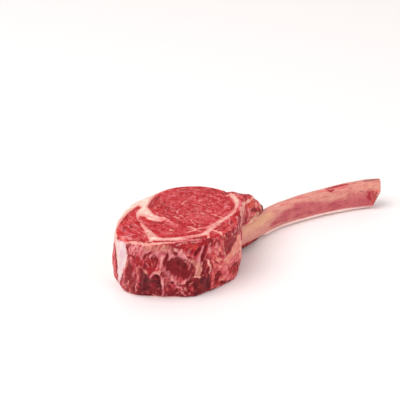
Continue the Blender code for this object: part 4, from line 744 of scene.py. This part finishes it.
def copy_of_node(name, new_name):
    """A free copy of a CAD node, its loose triangles merged."""
    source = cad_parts[name]
    obj = bpy.data.objects.new(new_name, source.data.copy())
    bpy.context.scene.collection.objects.link(obj)
    select([obj])
    bpy.ops.object.mode_set(mode="EDIT")
    bpy.ops.mesh.select_all(action="SELECT")
    bpy.ops.mesh.remove_doubles(threshold=1e-6)
    bpy.ops.object.mode_set(mode="OBJECT")
    return obj


def apply_modifier(obj, kind, **settings):
    select([obj])
    modifier = obj.modifiers.new(kind.title(), kind)
    for key, value in settings.items():
        setattr(modifier, key, value)
    bpy.ops.object.modifier_apply(modifier=modifier.name)


def grow(obj, amount):
    apply_modifier(obj, "DISPLACE", strength=amount * MM, mid_level=0.0, direction="NORMAL")


def new_skin(obj, name, voxel):
    """Names the object and makes its mesh anew as one closed, smooth skin."""
    obj.name = name
    obj.data.name = name
    apply_modifier(obj, "REMESH", mode="VOXEL", voxel_size=voxel * MM, adaptivity=0.0)
    apply_modifier(obj, "SMOOTH", factor=0.5, iterations=3)
    return obj


def read(mesh, what):
    """The vertices' places or normals."""
    values = np.empty(len(mesh.vertices) * 3, np.float32)
    mesh.vertices.foreach_get(what, values)
    return values.reshape(-1, 3).astype(float)


def set_places(mesh, points):
    mesh.vertices.foreach_set("co", (points * MM).astype(np.float32).ravel())
    mesh.update()


def dress(mesh, amounts, material):
    """Keeps each number or vector of the vertices as an attribute that the material reads."""
    for name, values in amounts.items():
        kind, key = ("FLOAT_VECTOR", "vector") if values.ndim == 2 else ("FLOAT", "value")
        mesh.attributes.new(name, kind, "POINT")
        mesh.attributes[name].data.foreach_set(key, values.astype(np.float32).ravel())
    mesh.shade_smooth()
    mesh.materials.clear()
    mesh.materials.append(material)


def distance_to(node, points):
    """Each point's distance from a CAD node's surface."""
    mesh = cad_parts[node].data
    tree = BVHTree.FromPolygons([v.co[:] for v in mesh.vertices], [p.vertices[:] for p in mesh.polygons])
    return np.array([tree.find_nearest(Vector(p))[3] for p in points * MM]) / MM


# ---------------------------------------------------------------- shapes

def flesh_form():
    """The muscles and the fat as one closed skin, with the seams closed and the bone's way in filled."""
    parts = [copy_of_node(name, "form_" + name) for name in (*LEAN_NODES, FAT_NODE)]
    for obj in parts:
        grow(obj, SEAM_CLOSING)
    buried = copy_of_node(BONE_NODE, "form_buried_bone")
    bpy.ops.object.mode_set(mode="EDIT")
    bpy.ops.mesh.select_all(action="SELECT")
    bpy.ops.mesh.bisect(plane_co=(BONE_BURIED_TO * MM, 0, 0), plane_no=(1, 0, 0),
                        use_fill=True, clear_outer=True)
    bpy.ops.object.mode_set(mode="OBJECT")
    grow(buried, BONE_CLEARANCE)
    parts.append(buried)
    for x, y, z, radius in UNDER_STRIP:
        bpy.ops.mesh.primitive_uv_sphere_add(segments=16, ring_count=10, radius=radius * MM,
                                             location=(x * MM, y * MM, z * MM))
        parts.append(bpy.context.object)
    select(parts)
    bpy.ops.object.join()
    return new_skin(parts[0], "steak_flesh", FLESH_VOXEL)


# ---------------------------------------------------------------- materials

def colour(red, green, blue):
    """A screen colour, 0 to 255, as the linear colour that a shader takes."""
    out = []
    for part in (red, green, blue):
        c = part / 255.0
        out.append(c / 12.92 if c <= 0.04045 else ((c + 0.055) / 1.055) ** 2.4)
    return (*out, 1.0)


class Shader:
    """Short calls for building a material's nodes. A value may be a number, a vector, a colour or
    what another call gave back."""

    def __init__(self, name):
        self.material = bpy.data.materials.new(name)
        self.material.use_nodes = True
        self.tree = self.material.node_tree

    def put(self, node, values):
        for socket, value in values.items():
            if isinstance(value, bpy.types.NodeSocket):
                self.tree.links.new(value, node.inputs[socket])
            else:
                node.inputs[socket].default_value = value

    def node(self, kind, output, values, **settings):
        node = self.tree.nodes.new("ShaderNode" + kind)
        for key, value in settings.items():
            setattr(node, key, value)
        self.put(node, values)
        return node.outputs[output]

    def surface(self, values):
        """Sets the surface and gives the finished material."""
        self.put(self.tree.nodes["Principled BSDF"], values)
        return self.material

    def attribute(self, name, output="Fac"):
        return self.node("Attribute", output, {}, attribute_name=name)

    def place(self):
        return self.node("TexCoord", "Object", {})

    def scaled(self, vector, factors):
        return self.node("VectorMath", 0, {0: vector, 1: factors}, operation="MULTIPLY")

    def math(self, operation, a, b):
        return self.node("Math", 0, {0: a, 1: b}, operation=operation)

    def plus(self, a, b):
        return self.math("ADD", a, b)

    def times(self, a, b):
        return self.math("MULTIPLY", a, b)

    def noise(self, vector, scale, detail=2.0, roughness=0.5, distortion=0.0):
        return self.node("TexNoise", "Fac", {"Vector": vector, "Scale": scale, "Detail": detail,
                                             "Roughness": roughness, "Distortion": distortion})

    def cells(self, vector, scale):
        return self.node("TexVoronoi", "Distance", {"Vector": vector, "Scale": scale})

    def ranged(self, value, low, high, to_low=0.0, to_high=1.0):
        """From to_low to to_high, with soft ends, as the value goes from low to high."""
        return self.node("MapRange", "Result", {"Value": value, "From Min": low, "From Max": high,
                                                "To Min": to_low, "To Max": to_high},
                         interpolation_type="SMOOTHSTEP")

    def mix(self, factor, a, b):
        return self.node("Mix", 2, {0: factor, 6: a, 7: b}, data_type="RGBA")

    def blend(self, value, low, high, first, second):
        """From one screen colour to the other as the value goes from low to high."""
        return self.mix(self.ranged(value, low, high), colour(*first), colour(*second))

    def tint(self, base, value, low, high, amount, tone):
        """The base under a screen colour that comes in as the value goes from low to high."""
        return self.mix(self.ranged(value, low, high, 0.0, amount), base, colour(*tone))

    def bump(self, height, strength, distance):
        """distance is in metres."""
        return self.node("Bump", "Normal", {"Strength": strength, "Distance": distance,
                                            "Height": height})


def flesh_material():
    s = Shader("raw_flesh")
    place = s.place()
    ring = s.attribute("ring", "Vector")
    strand = s.attribute("strand", "Vector")
    cut = s.attribute("cut")
    calm = s.attribute("calm")
    side = s.math("SUBTRACT", 1.0, cut)
    fine = s.math("SUBTRACT", s.noise(place, 420.0, 3.0, 0.65), 0.5)
    blotch = s.noise(place, 105.0, 3.0, 0.6)
    mottle = s.noise(place, 250.0, 4.0, 0.62)

    # On the sides the fibres hang as streaks. On the sawn wall they are cut across.
    streak = s.mix(calm, s.noise(strand, 300.0, 5.0, 0.62, 0.7), mottle)
    bundle = s.mix(calm, s.noise(strand, 120.0, 3.0, 0.55, 0.6), blotch)
    on_cut = s.noise(ring, 210.0, 6.0, 0.68, 0.6)
    pull = s.times(side, s.ranged(calm, 0.0, 1.0, 1.3, 0.35))
    fray = s.plus(fine, s.times(s.math("SUBTRACT", streak, 0.5), pull))

    def ragged(name, strength=1.0):
        """A coat with its edges frayed along the fibres."""
        return s.ranged(s.plus(s.attribute(name), s.times(fray, 0.8)), 0.15, 0.85, 0.0, strength)

    # Lean on the cut faces: raspberry red, mottled, with short fibres.
    top = s.blend(blotch, 0.34, 0.66, (178, 26, 32), (200, 48, 56))
    top = s.tint(top, mottle, 0.5, 0.68, 0.55, (218, 94, 98))
    top = s.tint(top, mottle, 0.46, 0.32, 0.6, (154, 18, 22))
    top = s.tint(top, on_cut, 0.51, 0.64, 0.8, (224, 114, 120))
    top = s.tint(top, on_cut, 0.47, 0.35, 0.8, (152, 18, 24))

    # Lean on the sides and on the sawn wall.
    hang = s.blend(bundle, 0.4, 0.62, (140, 30, 42), (190, 58, 68))
    hang = s.tint(hang, streak, 0.53, 0.68, 0.75, (222, 116, 126))
    hang = s.tint(hang, streak, 0.46, 0.32, 0.8, (108, 16, 28))
    sawn = s.blend(mottle, 0.38, 0.64, (184, 50, 55), (226, 104, 102))
    lean = s.mix(cut, s.mix(calm, hang, sawn), top)

    # Coats of the lean.
    lively = s.mix(cut, s.blend(streak, 0.4, 0.66, (134, 12, 20), (192, 42, 50)),
                   s.blend(on_cut, 0.4, 0.6, (186, 24, 28), (214, 62, 62)))
    lean = s.mix(ragged("bright", 0.85), lean, lively)
    purple = s.blend(streak, 0.38, 0.68, (66, 8, 15), (108, 28, 38))
    lean = s.mix(ragged("maroon", 0.92), lean, purple)
    # Where the dark coat passes 0.9, as under the black marks, it turns near black: painted shade in
    # crevices.
    deep = s.blend(s.attribute("dark"), 0.9, 1.7, (124, 24, 30), (74, 10, 16))
    deep = s.tint(deep, streak, 0.46, 0.68, 0.6, (166, 54, 60))
    lean = s.mix(ragged("dark"), lean, deep)

    # Fine marbling: short flecks that follow the grain, fewer where the lean is dark or has a coat.
    fleck = s.mix(cut, s.noise(strand, 520.0, 4.0, 0.66, 0.8), s.noise(ring, 340.0, 6.0, 0.7, 1.2))
    fleck = s.times(s.ranged(fleck, 0.56, 0.64), s.ranged(s.attribute("dark"), 0.2, 0.9, 0.75, 0.1))
    coated = s.times(s.math("MAXIMUM", s.attribute("bright"), s.attribute("maroon")), side)
    fleck = s.times(fleck, s.ranged(coated, 0.2, 0.9, 1.0, 0.3))
    fleck = s.times(fleck, s.ranged(side, 0.0, 1.0, 1.0, 0.7))
    lean = s.mix(fleck, lean, colour(230, 140, 134))

    # Thin pale skin over the lean.
    skin = s.blend(streak, 0.36, 0.66, (190, 84, 94), (230, 146, 150))
    lean = s.mix(ragged("film", 0.9), lean, skin)

    # Fat: cream, pinker where it is thin or stained, with veins on the sides.
    fatty = s.blend(s.noise(place, 130.0, 4.0, 0.65), 0.38, 0.68, (248, 220, 205), (238, 186, 172))
    stain = s.times(s.ranged(s.noise(place, 55.0, 5.0, 0.7), 0.52, 0.68, 0.0, 0.7), side)
    fatty = s.mix(stain, fatty, colour(226, 140, 130))
    veins = s.times(s.ranged(streak, 0.56, 0.7, 0.0, 0.6), side)
    fatty = s.mix(veins, fatty, colour(224, 128, 118))
    depth = s.plus(s.attribute("fat"), s.times(fine, 2.6))
    fatty = s.mix(s.ranged(depth, 0.3, 3.6, 0.8, 0.0), fatty, colour(228, 128, 122))
    white = s.blend(streak, 0.35, 0.65, (240, 218, 212), (226, 186, 196))
    fatty = s.mix(s.attribute("white"), fatty, white)
    base = s.mix(s.ranged(depth, -0.35, 0.45), lean, fatty)

    # Coats over lean and fat alike: name, strength, what mottles it, from where to where, two tones.
    for name, strength, value, low, high, first, second in (
            ("tan", 0.9, streak, 0.35, 0.66, (184, 96, 92), (220, 146, 128)),
            ("olive", 0.9, streak, 0.35, 0.66, (206, 160, 126), (206, 160, 126)),
            ("glow", 0.95, mottle, 0.4, 0.64, (206, 52, 44), (228, 96, 78)),
            ("coral", 0.92, mottle, 0.36, 0.64, (230, 122, 112), (244, 168, 148)),
            ("pink", 0.9, streak, 0.38, 0.64, (204, 78, 86), (236, 132, 132)),
            ("pale", 0.92, mottle, 0.35, 0.65, (234, 142, 132), (248, 188, 172))):
        base = s.mix(ragged(name, strength), base, s.blend(value, low, high, first, second))

    grain = s.plus(s.mix(cut, streak, on_cut), s.times(s.noise(place, 700.0, 3.0, 0.6), 0.4))
    return s.surface({
        "Base Color": base,
        "Roughness": s.ranged(s.noise(place, 260.0, 2.0), 0.3, 0.7, 0.32, 0.5),
        "Specular IOR Level": 0.1,
        "Normal": s.bump(grain, 0.7, 0.0016),
    })


def bone_material():
    s = Shader("scraped_bone")
    place = s.place()
    drawn_out = s.scaled(place, (0.14, 1.0, 1.0))
    streak = s.noise(drawn_out, 420.0, 4.0, 0.6)
    cloud = s.noise(place, 90.0, 4.0, 0.6)
    fine = s.math("SUBTRACT", s.noise(place, 380.0, 3.0, 0.65), 0.5)

    def ragged(name, low, high, amount=0.7):
        """A coat with an uneven edge."""
        return s.ranged(s.plus(s.attribute(name), s.times(fine, amount)), low, high)

    base = s.blend(streak, 0.35, 0.7, (222, 148, 134), (202, 116, 110))
    base = s.tint(base, cloud, 0.4, 0.68, 0.6, (226, 162, 140))
    # Yellow: cream-yellow bone, near the meat also lightened as painted light against the steak's shadow.
    base = s.mix(s.times(ragged("yellow", 0.1, 1.0), 0.8), base, colour(228, 170, 134))
    violet = s.blend(streak, 0.35, 0.66, (196, 86, 96), (168, 62, 78))
    violet = s.tint(violet, cloud, 0.42, 0.66, 0.6, (206, 108, 108))
    base = s.mix(s.times(ragged("purple", 0.1, 0.95, 0.9), 0.92), base, violet)
    for name, low, strength, tone in (("pink", 0.15, 0.8, (222, 100, 104)),
                                      ("dark", 0.15, 0.8, (116, 50, 56)),
                                      ("blood", 0.1, 0.95, (166, 30, 44))):
        base = s.mix(s.times(ragged(name, low, 0.9), strength), base, colour(*tone))
    spongy = s.blend(s.cells(place, 520.0), 0.15, 0.6, (150, 34, 42), (192, 84, 82))
    base = s.mix(ragged("marrow", 0.2, 0.8), base, spongy)
    # Pale: painted highlights, and painted light reflected from the floor on the underside and lip.
    base = s.mix(s.times(s.attribute("pale"), 0.92), base, colour(252, 222, 216))
    return s.surface({
        "Base Color": base,
        "Roughness": s.ranged(streak, 0.3, 0.7, 0.36, 0.5),
        "Specular IOR Level": 0.25,
        "Normal": s.bump(s.noise(drawn_out, 700.0, 3.0, 0.6), 0.4, 0.0008),
    })


# ---------------------------------------------------------------- pieces

def finish_flesh(flesh):
    mesh = flesh.data
    points = read(mesh, "co") / MM
    facing = read(mesh, "normal")

    # The depth of fat: above 0 where a vertex lies nearer to the fat's solid than to any muscle's.
    lean_gap = np.min([distance_to(name, points) for name in LEAN_NODES], axis=0)
    fat = np.clip(lean_gap - distance_to(FAT_NODE, points), -9.0, 9.0)
    cut = smoothstep(0.75, 0.93, np.abs(facing[:, 2]))
    side = 1.0 - cut
    front = smoothstep(0.1, -0.4, facing[:, 1])
    fat += (0.7 * rough_noise(points, 5.0, 61) + 0.5 * rough_noise(points, 1.8, 64)) * cut
    fat -= (0.3 + 1.4 * front + 1.8 * rough_noise(points, 6.0, 66) * (1.0 - front)) * side

    # Where each vertex lies in the rings of the cut faces and in the strands of the sides.
    across = points[:, :2] - np.array(EYE_CENTRE)
    angle = np.arctan2(across[:, 1], across[:, 0])
    radius = np.linalg.norm(across, axis=1)
    spread = RING_SPREAD * smoothstep(0.0, RING_START, radius)
    ring = warped(np.stack([spread * np.cos(angle), spread * np.sin(angle), radius], -1), 2.0, 8.0, 41)
    lean_over = angle - STRAND_LEAN * points[:, 2]
    strand = np.stack([STRAND_SPREAD * np.cos(lean_over), STRAND_SPREAD * np.sin(lean_over),
                       STRAND_STRETCH * points[:, 2]], -1)
    strand = warped(strand, 1.4, 7.0, 44)

    coats = {name: np.zeros(len(points)) for name in (*CLEAN, "calm", "rise")}
    coats["dark"] += side * smoothstep(0.05, 0.55, rough_noise(points, (9.0, 9.0, 16.0), 21)) * 0.6
    # Painted shade: the sides grow darker towards the floor.
    coats["dark"] += side * smoothstep(20.0, 1.0, points[:, 2]) * 0.5
    coats["film"] += side * smoothstep(0.1, 0.5, rough_noise(strand, 3.4, 33)) * 0.8
    uneven = warped(points, (1.1, 1.1, 2.0), 4.0, 5)
    uneven = np.where(cut[:, None] > 0.5, warped(points, 0.5, 2.5, 6), uneven)
    paint(MARKS, LEAVES, uneven, coats, cut, fat)

    # Relief: dark spots are hollows, skins and pale spots stand proud, all but flat on the cut faces.
    hollow = np.maximum(coats["dark"], 0.7 * coats["maroon"])
    proud = 0.6 * coats["film"] + 0.6 * coats["tan"] + 0.7 * coats["pale"] + 0.3 * coats["white"]
    relief = (proud - 1.1 * hollow) * (0.12 + 0.88 * side) + coats.pop("rise")
    rough = 0.6 * rough_noise(strand, 3.4, 51) + 0.9 * rough_noise(points, 9.0, 52)
    relief += rough * side * (1.0 - 0.6 * coats["calm"])
    relief += 0.12 * (rough_noise(points, 3.0, 57) + smoothstep(-0.5, 0.8, fat)) * cut
    moved = points + facing * relief[:, None]
    moved[:, 2] = np.maximum(moved[:, 2], 0.0)
    set_places(mesh, moved)

    dress(mesh, {"fat": fat, "cut": cut, "ring": ring * MM, "strand": strand * MM, **coats},
          flesh_material())
    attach(flesh, "root")
    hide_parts(*LEAN_NODES, FAT_NODE)


def finish_bone(bone):
    mesh = bone.data
    points = read(mesh, "co") / MM
    facing = read(mesh, "normal")
    x = points[:, 0]
    coats = {name: np.zeros(len(points)) for name in BONE_COATS}
    coats["purple"] += smoothstep(-0.1, -0.8, facing[:, 2]) * smoothstep(62.0, 110.0, x)
    paint(BONE_MARKS, BONE_LEAVES, warped(points, (2.2, 0.9, 0.9), 4.0, 15), coats)

    # Painted reflected light: the underside and the lip along the lower front edge are painted pale, as if
    # lit by light bounced up from the floor.
    under = smoothstep(-0.35, -0.8, facing[:, 2]) * smoothstep(66.0, 90.0, x)
    lip = np.exp(-((facing[:, 2] + 0.58) / 0.17) ** 2) * smoothstep(-0.1, -0.5, facing[:, 1])
    lip *= smoothstep(84.0, 98.0, x) * (1.0 - 0.3 * smoothstep(200.0, 225.0, x))
    lip *= 0.8 + 0.4 * rough_noise(points, (14.0, 9.0, 9.0), 77)
    coats["pale"] = np.max([coats["pale"], under * smoothstep(0.1, -0.3, facing[:, 1]),
                            smoothstep(0.2, 0.6, lip)], axis=0)

    # The marrow on the sawn end: inward is 0 in the middle of the end and 1 at its rim.
    end = points[x > 222.0]
    low, high = end.min(0), end.max(0)
    inward = np.linalg.norm((2.0 * points - low - high)[:, 1:] / (high - low)[1:], axis=1)
    cut_end = smoothstep(0.2, 0.5, facing[:, 0]) * smoothstep(216.0, 222.0, x)
    coats["marrow"] = np.maximum(coats["marrow"], smoothstep(0.95, 0.72, inward) * cut_end)

    # Relief: a swollen far end, a dip behind the meat, scrapes, and the buried part drawn in.
    upward = smoothstep(0.2, 0.8, facing[:, 2])
    relief = 0.3 * under * smoothstep(95.0, 150.0, x) + 0.8 * smoothstep(210.0, 228.0, x) * upward
    relief += 0.25 * rough_noise(points, (30.0, 5.0, 5.0), 71)
    relief += 0.12 * rough_noise(points, (9.0, 2.5, 2.5), 73) - 0.5 * coats["blood"]
    relief -= 1.4 * smoothstep(78.0, 94.0, x) * smoothstep(152.0, 122.0, x) * upward
    relief -= BONE_DRAWN_IN * smoothstep(49.0, 42.0, x)
    moved = points + facing * relief[:, None] + lip[:, None] * np.array(LIP_MOVE)
    moved[:, 2] = np.maximum(moved[:, 2], 0.3)
    set_places(mesh, moved)

    dress(mesh, coats, bone_material())
    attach(bone, "root")
    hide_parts(BONE_NODE)


# ---------------------------------------------------------------- camera, light, floor

def aim(name, data, spot, azimuth, elevation, distance):
    """Puts a camera or a lamp into the scene, looking at a spot."""
    obj = bpy.data.objects.new(name, data)
    bpy.context.scene.collection.objects.link(obj)
    a = math.radians(azimuth)
    e = math.radians(elevation)
    away = Vector((math.sin(a) * math.cos(e), -math.cos(a) * math.cos(e), math.sin(e)))
    obj.location = Vector(spot) + away * distance
    obj.rotation_euler = away.to_track_quat("Z", "Y").to_euler()
    return obj


def add_camera():
    data = bpy.data.cameras.new("camera")
    data.lens = LENS
    data.sensor_width = SENSOR
    data.clip_end = 20.0
    bpy.context.scene.camera = aim("camera", data, AIM, AZIMUTH, ELEVATION, DISTANCE)


def add_surroundings():
    world = bpy.data.worlds.new("studio")
    world.use_nodes = True
    background = world.node_tree.nodes["Background"]
    background.inputs["Color"].default_value = (1.0, 1.0, 1.0, 1.0)
    background.inputs["Strength"].default_value = WORLD_STRENGTH
    bpy.context.scene.world = world
    bpy.context.scene.view_settings.view_transform = "Standard"

    bpy.ops.mesh.primitive_plane_add(size=FLOOR_SIZE, location=(0, 0, 0))
    floor = bpy.context.object
    floor.name = "floor"
    floor.data.materials.append(Shader("white_floor").surface(
        {"Base Color": FLOOR_COLOUR, "Roughness": 0.9, "Specular IOR Level": 0.1}))

    for name, azimuth, elevation, distance, size, power in LAMPS:
        data = bpy.data.lights.new(name, "AREA")
        data.shape = "DISK"
        data.size = size
        data.energy = power
        aim(name, data, LIT_SPOT, azimuth, elevation, distance)


add_camera()
add_surroundings()
finish_flesh(flesh_form())
finish_bone(new_skin(copy_of_node(BONE_NODE, "scraped_rib"), "scraped_rib", BONE_VOXEL))
